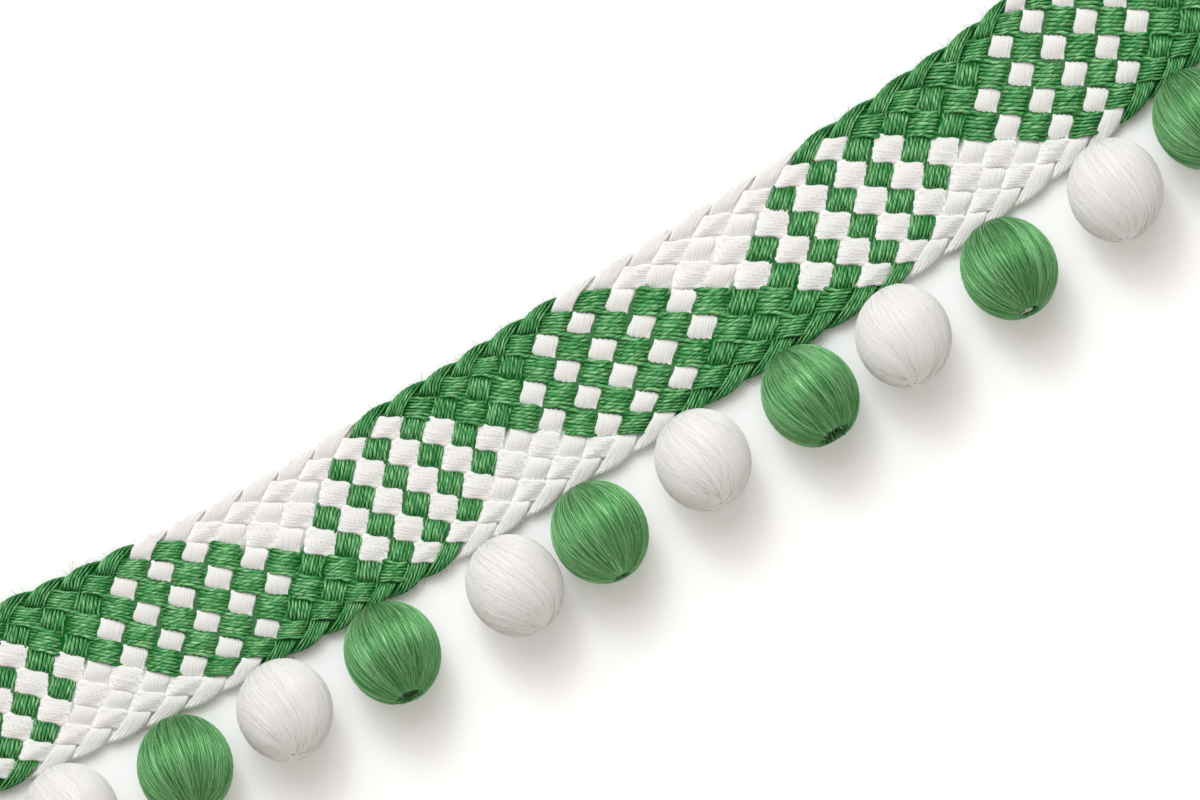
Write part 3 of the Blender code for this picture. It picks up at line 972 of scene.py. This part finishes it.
mouth_knot = make_mouth_knot(BALLS[KNOTTED_BALL - 1])
print("undyed knot faces:", len(mouth_knot.data.polygons))

# %% [markdown]
# ## Stray fibres
# Cotton isn't tidy. Single fibres stand out along both edges, where the yarns turn, and the cut
# ends of the yarns fray into short tufts. A hair system would do it too, but it isn't kept in an
# exported mesh, so each fibre is a very thin tube of its own.

# %% Make the stray fibres
FIBRE_RADIUS = 0.000018
FIBRE_POINTS = 6
EDGE_FIBRES = dict(green=260, white=520)
EDGE_FIBRE_INSET = 0.0006
EDGE_FIBRE_LENGTHS = (0.0006, 0.0017)
EDGE_FIBRE_CURL = 0.35
ALONG_SPREAD = 0.8  # how far an edge fibre's direction strays along the tape
UP_SPREAD = 0.35  # and up or down
END_MARGIN = 0.001  # none starts closer than this to a cut end
HIGHEST_FIBRE = 0.0021
LOWEST_FIBRE = 0.0003
END_FIBRES = 5  # on each cut yarn
END_FIBRE_PLACES = 0.00012  # how far its foot strays from the middle of the yarn
END_FIBRE_SPREAD = 0.25
END_FIBRE_LENGTHS = (0.0004, 0.0012)
END_FIBRE_CURL = 0.3
FIBRE_SHADES = (0.4, 1)


def fibre(start, heading, long, curl):
    """A single fibre that leaves a place in a direction and wanders off it."""
    heading = heading / (np.linalg.norm(heading) + TINY)
    steps = np.linspace(0, 1, FIBRE_POINTS)[:, None]
    bend = random.normal(0, curl, 3)
    line = start + heading * long * steps + bend * long * steps**2
    line[:, 2] = np.maximum(line[:, 2], FIBRE_RADIUS)
    return round_thread(line, FIBRE_RADIUS, THREAD_RING)


def edge_colour(step, side):
    """Colour of the strand that turns over an edge at this step."""
    first = 1 if side > 0 else 1 + STEPS
    return "white" if round((step - first) / 2) % STRANDS >= STRANDS // 2 else "green"


def edge_fibres(colour):
    """Fibres that stand out from the strands of one colour where they turn."""
    made = []
    while len(made) < EDGE_FIBRES[colour]:
        step, side = random.uniform(FIRST_STEP, LAST_STEP), random.choice([-1, 1])
        across = side * (across_at(np.array(TURN_ROW)) - random.uniform(0, EDGE_FIBRE_INSET))
        along = along_at(np.array(step), across)
        if edge_colour(step, side) != colour or abs(along) > BAND_LENGTH / 2 - END_MARGIN:
            continue
        start = lay([(float(along), across, random.uniform(LOWEST_FIBRE, HIGHEST_FIBRE))])[0]
        heading = np.array([random.normal(0, ALONG_SPREAD), side, random.normal(0, UP_SPREAD)])
        made.append(fibre(start, heading, random.uniform(*EDGE_FIBRE_LENGTHS), EDGE_FIBRE_CURL))
    return made


def end_fibres(colour):
    """A small tuft at each cut yarn of one colour."""
    made = []
    for place, heading in yarn_ends[colour]:
        for _ in range(END_FIBRES):
            start = place + random.normal(0, END_FIBRE_PLACES, 3)
            heading = heading / np.linalg.norm(heading) + random.normal(0, END_FIBRE_SPREAD, 3)
            made.append(fibre(start, heading, random.uniform(*END_FIBRE_LENGTHS), END_FIBRE_CURL))
    return made


strays = []
for colour in ("green", "white"):
    fibres = edge_fibres(colour) + end_fibres(colour)
    shades = random.uniform(*FIBRE_SHADES, len(fibres))
    strays.append(mesh_from_tubes(f"stray_fibres_{colour}", fibres, shades))
print("stray fibres:", [len(piece.data.polygons) for piece in strays], "faces")

# %% [markdown]
# ## Helpers for the finishes
# A finish is a tree of nodes, and many of the nodes only add, multiply or blend. Short helpers
# make each of those in one line, so that the finishes below read like recipes. A value that
# changes over the surface is linked, and one that doesn't is set on the socket.

# %% Node group helpers
def feed(tree, value, socket):
    """Links a socket's value that changes over the surface, or sets one that doesn't."""
    if isinstance(value, bpy.types.NodeSocket):
        tree.links.new(value, socket)
    else:
        socket.default_value = value


def new_group(name, inputs, outputs):
    """An empty node group with named inputs and outputs."""
    group = bpy.data.node_groups.new(name, "ShaderNodeTree")
    for label, kind, value in inputs:
        socket = group.interface.new_socket(name=label, in_out="INPUT", socket_type=kind)
        if value is not None:
            socket.default_value = value
    for label, kind in outputs:
        group.interface.new_socket(name=label, in_out="OUTPUT", socket_type=kind)
    return group, group.nodes.new("NodeGroupInput"), group.nodes.new("NodeGroupOutput")


def math_node(tree, operation, first, second=None):
    node = tree.nodes.new("ShaderNodeMath")
    node.operation = operation
    feed(tree, first, node.inputs[0])
    if second is not None:
        feed(tree, second, node.inputs[1])
    return node.outputs[0]


def noise_node(tree, vector, detail, roughness):
    """Noise over a place that is already scaled."""
    node = tree.nodes.new("ShaderNodeTexNoise")
    node.inputs["Scale"].default_value = 1.0
    node.inputs["Detail"].default_value = detail
    node.inputs["Roughness"].default_value = roughness
    tree.links.new(vector, node.inputs["Vector"])
    return node.outputs["Fac"]


def combine_node(tree, x, y, z):
    node = tree.nodes.new("ShaderNodeCombineXYZ")
    for value, socket in zip((x, y, z), node.inputs):
        feed(tree, value, socket)
    return node.outputs[0]


def separate_node(tree, vector):
    node = tree.nodes.new("ShaderNodeSeparateXYZ")
    tree.links.new(vector, node.inputs[0])
    return node.outputs


def range_node(tree, value, low, high, to_low=0.0, to_high=1.0):
    """A smooth change from to_low to to_high while the value goes from low to high."""
    node = tree.nodes.new("ShaderNodeMapRange")
    node.interpolation_type = "SMOOTHSTEP"
    tree.links.new(value, node.inputs["Value"])
    labels = ("From Min", "From Max", "To Min", "To Max")
    for label, number in zip(labels, (low, high, to_low, to_high)):
        node.inputs[label].default_value = number
    return node.outputs["Result"]


def group_node(tree, group, **values):
    """A node group, with a value or a link for each input that is named."""
    node = tree.nodes.new("ShaderNodeGroup")
    node.node_tree = group
    for label, value in values.items():
        feed(tree, value, node.inputs[label.replace("_", " ")])
    return node


def attribute_node(tree, name):
    node = tree.nodes.new("ShaderNodeAttribute")
    node.attribute_name = name
    return node.outputs["Fac"]


def mix_colour(tree, factor, first, second):
    """A blend of two colours. The mix node has its colour sockets at places 6 and 7."""
    node = tree.nodes.new("ShaderNodeMix")
    node.data_type = "RGBA"
    feed(tree, factor, node.inputs["Factor"])
    feed(tree, first, node.inputs[6])
    feed(tree, second, node.inputs[7])
    return node.outputs[2]


print("node helpers ready")

# %% [markdown]
# ## The twist of the plies
# Cotton yarn is two plies twisted together, so a slanting ridge runs round it. The group reads
# the map named yarn, where x runs along the yarn and y round it: adding a share of x to y slants
# the ridges. It also gives the grooves between the ridges, where the finish paints shade, and the
# sides of the yarn, where its rim colour paints shade on green yarn and light on white.

# %% Ply twist group
SIDES_FROM = 0.55  # how far a place faces sideways before it counts as a side
GROOVE_BELOW = 0.5  # how low on a ridge the groove begins


def make_twist_group():
    """Ridges of the plies, their grooves for painted shade, and the yarn's sides for the painted rim.
    Along is in metres, round from 0 to 1.
    """
    group, given, result = new_group(
        "ply twist",
        [
            ("Place", "NodeSocketVector", None),
            ("Pitch", "NodeSocketFloat", 0.0026),
            ("Plies", "NodeSocketFloat", 2.0),
        ],
        [("Ridge", "NodeSocketFloat"), ("Groove", "NodeSocketFloat"), ("Side", "NodeSocketFloat")],
    )
    along, around, _ = separate_node(group, given.outputs["Place"])
    facing = math_node(group, "COSINE", math_node(group, "MULTIPLY", around, 2 * math.pi))
    # the yarn's sides, which get the rim colour: painted shade on green yarn, painted light on white
    side = range_node(group, math_node(group, "ABSOLUTE", facing), SIDES_FROM, 1.0)
    turns = math_node(group, "DIVIDE", along, given.outputs["Pitch"])
    slide = math_node(group, "ADD", around, turns)
    strands_round = math_node(group, "MULTIPLY", slide, given.outputs["Plies"])
    phase = math_node(group, "MULTIPLY", strands_round, math.pi)
    ridge = math_node(group, "ABSOLUTE", math_node(group, "SINE", phase))
    # the groove between the plies, which the finish fills with painted shade
    groove = range_node(group, ridge, 0.0, GROOVE_BELOW, 1.0, 0.0)
    for label, value in (("Ridge", ridge), ("Groove", groove), ("Side", side)):
        group.links.new(value, result.inputs[label])
    return group


twist_group = make_twist_group()
print("group:", twist_group.name)

# %% [markdown]
# ## The streaks of fibre
# The fibres of a yarn differ a little in colour, and they run along it with the twist. Stretched
# noise on the same slanting place gives those streaks, and slower noise gives lighter and darker
# stretches. Each yarn reads its own slice of the noise by its shade, so no two look alike.

# %% Fibre streak group
SLICE_PER_SHADE = 37.0  # distance in the noise between the darkest and the lightest yarn
PATCH_ALONG = 0.35  # how much slower the patches change than the streaks
PATCH_ROUND = 0.4
STREAK_DETAIL, STREAK_ROUGHNESS = 3.0, 0.6
PATCH_DETAIL, PATCH_ROUGHNESS = 1.0, 0.5
NOISE_LOW, NOISE_HIGH = 0.3, 0.7  # the noise seldom leaves this range


def make_fibre_group():
    """Streaks of fibre that run along the thread, with a slow change from place to place."""
    group, given, result = new_group(
        "fibre streaks",
        [
            ("Place", "NodeSocketVector", None),
            ("Along Scale", "NodeSocketFloat", 600.0),
            ("Round Scale", "NodeSocketFloat", 9.0),
            ("Slant", "NodeSocketFloat", 300.0),
            ("Shade", "NodeSocketFloat", 0.5),
        ],
        [("Streak", "NodeSocketFloat"), ("Patch", "NodeSocketFloat")],
    )
    along, around, _ = separate_node(group, given.outputs["Place"])
    slid = math_node(group, "ADD", around, math_node(group, "MULTIPLY", along, given.outputs["Slant"]))
    x = math_node(group, "MULTIPLY", along, given.outputs["Along Scale"])
    y = math_node(group, "MULTIPLY", slid, given.outputs["Round Scale"])
    z = math_node(group, "MULTIPLY", given.outputs["Shade"], SLICE_PER_SHADE)
    streak = noise_node(group, combine_node(group, x, y, z), STREAK_DETAIL, STREAK_ROUGHNESS)
    slow_x = math_node(group, "MULTIPLY", x, PATCH_ALONG)
    slow_y = math_node(group, "MULTIPLY", y, PATCH_ROUND)
    patch = noise_node(group, combine_node(group, slow_x, slow_y, z), PATCH_DETAIL, PATCH_ROUGHNESS)
    for label, value in (("Streak", streak), ("Patch", patch)):
        group.links.new(range_node(group, value, NOISE_LOW, NOISE_HIGH), result.inputs[label])
    return group


fibre_group = make_fibre_group()
print("group:", fibre_group.name)

# %% [markdown]
# ## The cotton recipe
# Yarn and thread share one recipe: the body colour, a lighter one on fibres that catch the light,
# and a deep colour on random dark fibres. The deep colour is also painted shade in the grooves,
# between threads and where green yarn dives. A rim colour on the sides of green yarn is painted
# shade, and on the sides and in the dives of white yarn it is painted light. A little sheen
# stands for the fuzz of the cotton. Wound thread also stretches its highlight across the threads,
# so its recipe turns the shader's tangent along the map.

# %% Cotton recipe
# deep and rim carry painted shade and light: twist and groove set the painted shade of deep in ply
# grooves, dives and thread valleys, and side and dive set the rim on the sides and in dives
Cotton = namedtuple(
    "Cotton",
    "name deep body light rim rough gloss satin across sheen relief lighter darker tone "
    "twist side groove dive along_scale round_scale slant pitch",
)
SHEEN_ROUGHNESS = 0.45
ACROSS_THREAD = 0.25  # a quarter turn off the tangent, so across the thread
STREAK_SHARE = 0.75  # of a place's lightness, less what the yarn's own shade takes
PATCH_SHARE = 0.25
MOST_BLEND = 0.92  # some of the colour below always shows
ROUGH_FROM, ROUGH_TO = 0.2, 0.9  # over this lightness the roughness falls
ROUGH_SPREAD = 0.08
FIBRE_BUMP = 0.6
BUMP_DEPTH = 0.00008


def weighted(tree, value, weight):
    return math_node(tree, "MULTIPLY", value, weight)


def added(tree, first, second):
    return math_node(tree, "ADD", first, second)


def set_shader(tree, shader, recipe):
    """What is the same all over the surface is set on the shader's own sockets."""
    shader.inputs["Specular IOR Level"].default_value = recipe.gloss
    shader.inputs["Metallic"].default_value = recipe.satin
    shader.inputs["Sheen Weight"].default_value = recipe.sheen
    shader.inputs["Sheen Roughness"].default_value = SHEEN_ROUGHNESS
    shader.inputs["Anisotropic"].default_value = recipe.across
    shader.inputs["Anisotropic Rotation"].default_value = ACROSS_THREAD
    if recipe.across:
        tangent = tree.nodes.new("ShaderNodeTangent")
        tangent.direction_type = "UV_MAP"
        tangent.uv_map = "yarn"
        tree.links.new(tangent.outputs["Tangent"], shader.inputs["Tangent"])


def cotton_colour(tree, recipe, twist, depth, lit):
    """Body and light by the fibres, then the deep colour on dark fibres and as painted shade in grooves
    and dives, then the rim on the sides and in dives, painted shade on green yarn and painted light on
    white.
    """
    colour = mix_colour(tree, range_node(tree, lit, *recipe.lighter), recipe.body, recipe.light)
    # painted shade: the deep colour in the ply grooves, where a yarn dives and in the valleys between
    # threads; the darker range below is random dark fibres
    sunk_shade = weighted(tree, depth, recipe.groove)
    dark = added(tree, weighted(tree, twist.outputs["Groove"], recipe.twist), sunk_shade)
    dark = added(tree, dark, range_node(tree, lit, *recipe.darker))
    colour = mix_colour(tree, math_node(tree, "MINIMUM", dark, MOST_BLEND), colour, recipe.deep)
    # the rim colour on the sides and in dives: painted shade on green yarn, painted light on white
    dive_light = weighted(tree, depth, recipe.dive)
    rim = added(tree, weighted(tree, twist.outputs["Side"], recipe.side), dive_light)
    return mix_colour(tree, math_node(tree, "MINIMUM", rim, MOST_BLEND), colour, recipe.rim)


def cotton_relief(tree, recipe, twist, fibre):
    """Fine relief of plies and fibres, too small for the mesh."""
    ply = weighted(tree, twist.outputs["Ridge"], recipe.twist)
    bump = tree.nodes.new("ShaderNodeBump")
    bump.inputs["Strength"].default_value = recipe.relief
    bump.inputs["Distance"].default_value = BUMP_DEPTH
    height = added(tree, ply, weighted(tree, fibre.outputs["Streak"], FIBRE_BUMP))
    tree.links.new(height, bump.inputs["Height"])
    return bump.outputs["Normal"]


def cotton(recipe):
    """The finish of one yarn or thread."""
    material = bpy.data.materials.new(recipe.name)
    material.use_nodes = True
    tree = material.node_tree
    shader = tree.nodes["Principled BSDF"]
    set_shader(tree, shader, recipe)
    place = tree.nodes.new("ShaderNodeUVMap")
    place.uv_map = "yarn"
    tone = attribute_node(tree, "shade")
    depth = attribute_node(tree, "groove")
    twist = group_node(tree, twist_group, Place=place.outputs["UV"], Pitch=recipe.pitch)
    fibre = group_node(
        tree,
        fibre_group,
        Place=place.outputs["UV"],
        Along_Scale=recipe.along_scale,
        Round_Scale=recipe.round_scale,
        Slant=recipe.slant,
        Shade=tone,
    )
    lit = weighted(tree, fibre.outputs["Streak"], STREAK_SHARE - recipe.tone)
    lit = added(tree, lit, weighted(tree, fibre.outputs["Patch"], PATCH_SHARE))
    lit = added(tree, lit, weighted(tree, tone, recipe.tone))
    tree.links.new(cotton_colour(tree, recipe, twist, depth, lit), shader.inputs["Base Color"])
    dull, shiny = recipe.rough + ROUGH_SPREAD, recipe.rough - ROUGH_SPREAD
    rough = range_node(tree, lit, ROUGH_FROM, ROUGH_TO, dull, shiny)
    tree.links.new(rough, shader.inputs["Roughness"])
    tree.links.new(cotton_relief(tree, recipe, twist, fibre), shader.inputs["Normal"])
    return material


print("a cotton finish has", len(Cotton._fields), "values")

# %% [markdown]
# ## Green and white yarn
# Green yarn has strong, slightly yellow highlights and dark valleys. Its deep colour is painted
# shade in the ply grooves and where it dives, and its rim colour is the same painted shade on its
# sides. White yarn hardly changes: light passes through it, so its sides and dives stay light
# where a solid thing would go grey. A lighter rim colour is painted light that stands for that,
# because real light scattering fails on thin tubes that overlap.

# %% Yarn finishes
GREEN_SCALES = dict(along_scale=700.0, round_scale=8.0, slant=330.0, pitch=0.0030)
WHITE_SCALES = dict(along_scale=220.0, round_scale=14.0, slant=60.0, pitch=0.0042)
# deep is painted shade in the ply grooves and dives, and the colour of random dark fibres; green's rim is
# the same painted shade on the yarns' sides
GREEN = dict(
    deep=(0.002, 0.112, 0.012, 1.0),
    body=(0.085, 0.354, 0.123, 1.0),
    light=(0.290, 0.570, 0.260, 1.0),
    rim=(0.002, 0.112, 0.012, 1.0),
)
# white's deep is a faint painted shade in the ply grooves and the colour of random dark fibres; its
# lighter rim is painted light on the yarns' sides and in the dives
WHITE = dict(
    deep=(0.680, 0.658, 0.626, 1.0),
    body=(0.698, 0.686, 0.670, 1.0),
    light=(0.720, 0.710, 0.697, 1.0),
    rim=(0.840, 0.830, 0.812, 1.0),
)


def green_yarn():
    # twist, side and groove set how much painted shade the ply grooves, the sides and the dives get
    recipe = Cotton(
        name="green plied yarn",
        rough=0.58, gloss=0.12, satin=0.0, across=0.0, sheen=0.02, relief=1.0,
        lighter=(0.47, 0.78), darker=(0.25, 0.5, 0.55, 0.0), tone=0.15,
        twist=0.45, side=0.45, groove=0.65, dive=0.0,
        **GREEN, **GREEN_SCALES,
    )
    return cotton(recipe)


def white_yarn():
    # side and dive paint the lighter rim as painted light; twist gives a faint painted shade in the ply
    # grooves
    recipe = Cotton(
        name="white plied yarn",
        rough=0.75, gloss=0.15, satin=0.0, across=0.0, sheen=0.4, relief=0.45,
        lighter=(0.45, 0.85), darker=(0.15, 0.4, 0.3, 0.0), tone=0.2,
        twist=0.2, side=0.8, groove=0.0, dive=0.9,
        **WHITE, **WHITE_SCALES,
    )
    return cotton(recipe)


materials = dict(yarn_green=green_yarn(), yarn_white=white_yarn())
print("yarn finishes:", ", ".join(m.name for m in materials.values()))

# %% [markdown]
# ## Wound thread
# The thread on the balls is finer and smoother than the yarn, so it has a satin gloss that spans
# the threads as a soft band. On the map of a ball y runs round it from thread to thread, so the
# streaks are many round the ball and long along the threads.

# %% Thread finishes
THREAD_SCALES = dict(along_scale=7.0, round_scale=420.0, slant=0.05, pitch=1.0)
# on thread, deep is painted shade in the valleys between threads and the colour of random dark threads;
# the rim isn't used
GREEN_SILK = dict(
    deep=(0.012, 0.088, 0.016, 1.0),
    body=(0.070, 0.300, 0.080, 1.0),
    light=(0.420, 0.740, 0.400, 1.0),
    rim=(0.015, 0.090, 0.018, 1.0),
)
WHITE_SILK = dict(
    deep=(0.640, 0.610, 0.575, 1.0),
    body=(0.712, 0.698, 0.680, 1.0),
    light=(0.765, 0.754, 0.740, 1.0),
    rim=(0.712, 0.698, 0.680, 1.0),
)


def green_thread():
    # groove sets the painted shade in the valleys between threads
    recipe = Cotton(
        name="green wound thread",
        rough=0.48, gloss=0.3, satin=0.75, across=0.9, sheen=0.0, relief=0.5,
        lighter=(0.30, 0.80), darker=(0.2, 0.5, 0.3, 0.0), tone=0.5,
        twist=0.0, side=0.0, groove=0.7, dive=0.0,
        **GREEN_SILK, **THREAD_SCALES,
    )
    return cotton(recipe)


def white_thread():
    # groove sets the painted shade in the valleys between threads
    recipe = Cotton(
        name="white wound thread",
        rough=0.42, gloss=0.5, satin=0.0, across=0.9, sheen=0.05, relief=0.4,
        lighter=(0.4, 0.9), darker=(0.2, 0.45, 0.4, 0.0), tone=0.4,
        twist=0.0, side=0.0, groove=0.40, dive=0.0,
        **WHITE_SILK, **THREAD_SCALES,
    )
    return cotton(recipe)


materials.update(thread_green=green_thread(), thread_white=white_thread())
print("finishes so far:", len(materials))

# %% [markdown]
# ## The finish of the inner sheet
# The sheet is seen only through small hollows, where strands pass deep below. It takes the white
# of those strands, or for green ones the yarn's deep green, which is painted shade, by the number
# on its corners, and has no gloss.

# %% Inner finish
INNER_ROUGHNESS = 0.9
INNER_GLOSS = 0.1
WHITE_FROM = 0.4  # share of white strands at which the sheet starts to turn white


def inner_cotton():
    """The strands deep inside the plait, seen only through small hollows; the green ones in painted shade.
    """
    material = bpy.data.materials.new("plait inside")
    material.use_nodes = True
    tree = material.node_tree
    shader = tree.nodes["Principled BSDF"]
    shader.inputs["Roughness"].default_value = INNER_ROUGHNESS
    shader.inputs["Specular IOR Level"].default_value = INNER_GLOSS
    share = range_node(tree, attribute_node(tree, "white_share"), WHITE_FROM, 1.0)
    # green parts take the yarn's deep green, which is painted shade; white parts take the white body
    # colour
    tree.links.new(mix_colour(tree, share, GREEN["deep"], WHITE["body"]), shader.inputs["Base Color"])
    return material


materials["inside"] = inner_cotton()
print("finishes:", ", ".join(m.name for m in materials.values()))

# %% [markdown]
# ## Dress the pieces
# The wound balls and their loose turns take a thread finish, and the inner sheet has its own.
# Everything else takes a yarn finish. The finish could be set where each piece is made, but here
# one loop does it, because every name but the sheet's says which of the two colours a piece has.

# %% Dress the pieces
def dress(piece, kind):
    piece.data.materials.append(materials[kind])


for piece in strands + strays + ties + frays + [mouth_knot]:
    dress(piece, "yarn_white" if "white" in piece.name else "yarn_green")
for piece in balls + loose:
    dress(piece, "thread_white" if "white" in piece.name else "thread_green")
dress(ground, "inside")
dressed = strands + strays + ties + balls + loose + frays + [ground, mouth_knot]
triangles = {piece.name: sum(len(p.vertices) - 2 for p in piece.data.polygons) for piece in dressed}
print("dressed:", len(dressed), "triangles:", sum(triangles.values()), "most:", max(triangles.values()))

# %% [markdown]
# ## The floor
# The photo was taken on a plain white surface that shows nothing but soft shadows. One large
# square with a dull, nearly white finish does that. It isn't part of the object, so it is staged.

# %% Floor
FLOOR_SIZE = 3.0
FLOOR_DROP = 0.00002  # just under the object, so that the two surfaces don't fight
FLOOR_WHITE = (0.96, 0.96, 0.96, 1.0)
FLOOR_ROUGHNESS = 0.9


def make_floor():
    mesh = bpy.data.meshes.new("floor")
    half = FLOOR_SIZE / 2
    corners = [(-half, -half, 0), (half, -half, 0), (half, half, 0), (-half, half, 0)]
    mesh.from_pydata(corners, [], [(0, 1, 2, 3)])
    floor = add_object("floor", mesh)
    floor.location.z = -FLOOR_DROP
    material = bpy.data.materials.new("plain white surface")
    material.use_nodes = True
    shader = material.node_tree.nodes["Principled BSDF"]
    shader.inputs["Base Color"].default_value = FLOOR_WHITE
    shader.inputs["Roughness"].default_value = FLOOR_ROUGHNESS
    mesh.materials.append(material)


make_floor()
print("floor is", FLOOR_SIZE, "m square")

# %% [markdown]
# ## The camera
# The photo looks straight down, and the tape crosses it at a slant. The lens is long and far
# away, because the balls in the photo hardly lean outwards. Its length follows from the width
# that the picture covers, and the camera is turned instead of the tape.

# %% Camera
PHOTO_WIDTH = 0.17436  # how much of the tape's surface the picture spans, in metres
PHOTO_TURN = math.radians(31.8)
PHOTO_MIDDLE = (0.0006, -0.0036)
CAMERA_HEIGHT = 1.5
SENSOR = 36.0


def make_camera():
    data = bpy.data.cameras.new("camera")
    data.sensor_width = SENSOR
    data.lens = SENSOR * CAMERA_HEIGHT / PHOTO_WIDTH
    camera = add_object("camera", data)
    camera.location = (PHOTO_MIDDLE[0], PHOTO_MIDDLE[1] + BAND_SHIFT, CAMERA_HEIGHT)
    camera.rotation_euler = (0, 0, -PHOTO_TURN)
    bpy.context.scene.camera = camera
    return camera


camera = make_camera()
print("lens:", round(camera.data.lens), "mm")

# %% [markdown]
# ## The lights
# A large soft light from the upper left gives the short soft shadows on the lower right, and a
# smaller one in its middle gives them a slightly darker heart. A pale, warm world fills the rest.
# The lights are placed as the photo sees them, so they turn with the camera.

# %% Lights
KEY_POWER = 7.2
KEY_SIZE = 0.90
MIDDLE_POWER = 2.2
MIDDLE_SIZE = 0.26
MIDDLE_NEARER = 0.98  # its distance against the key light's, so that it stands in front
KEY_PLACE = (-0.28, 0.66, 0.76)  # right, up and towards the camera, as the photo sees it
KEY_COLOUR = (0.96, 1.0, 1.03)
WORLD_LIGHT = 0.70
WORLD_COLOUR = (1.0, 0.935, 0.885, 1.0)


def make_light(name, power, size, nearer):
    data = bpy.data.lights.new(name, "AREA")
    data.energy = power
    data.size = size
    data.color = KEY_COLOUR
    light = add_object(name, data)
    turn = camera.rotation_euler.to_matrix()
    aim = Vector((camera.location.x, camera.location.y, 0))
    light.location = turn @ Vector(KEY_PLACE) * nearer + aim
    light.rotation_euler = (light.location - aim).to_track_quat("Z", "Y").to_euler()
    return light


def make_world():
    world = bpy.data.worlds.new("studio")
    world.use_nodes = True
    background = world.node_tree.nodes["Background"]
    background.inputs["Color"].default_value = WORLD_COLOUR
    background.inputs["Strength"].default_value = WORLD_LIGHT
    bpy.context.scene.world = world


key = make_light("key", KEY_POWER, KEY_SIZE, 1.0)
make_light("middle of the key", MIDDLE_POWER, MIDDLE_SIZE, MIDDLE_NEARER)
make_world()
bpy.context.scene.view_settings.view_transform = "Standard"
print("key light at", [round(x, 2) for x in key.location])

# %% [markdown]
# ## Hand the pieces over
# Every piece rides on the part's one body. The strands and the inner sheet stand for the band's
# solid, and each wound ball and tie stands for its own solid. The band is cloth.

# %% Ride and replace
for piece in dressed:
    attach(piece, "root")
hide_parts("plaited_band")
for ball, made, tie in zip(BALLS, balls, ties):
    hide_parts(f"ball_{ball.number:02d}")
    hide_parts(f"tie_{ball.number:02d}")
print("pieces that ride on the root:", len(dressed))
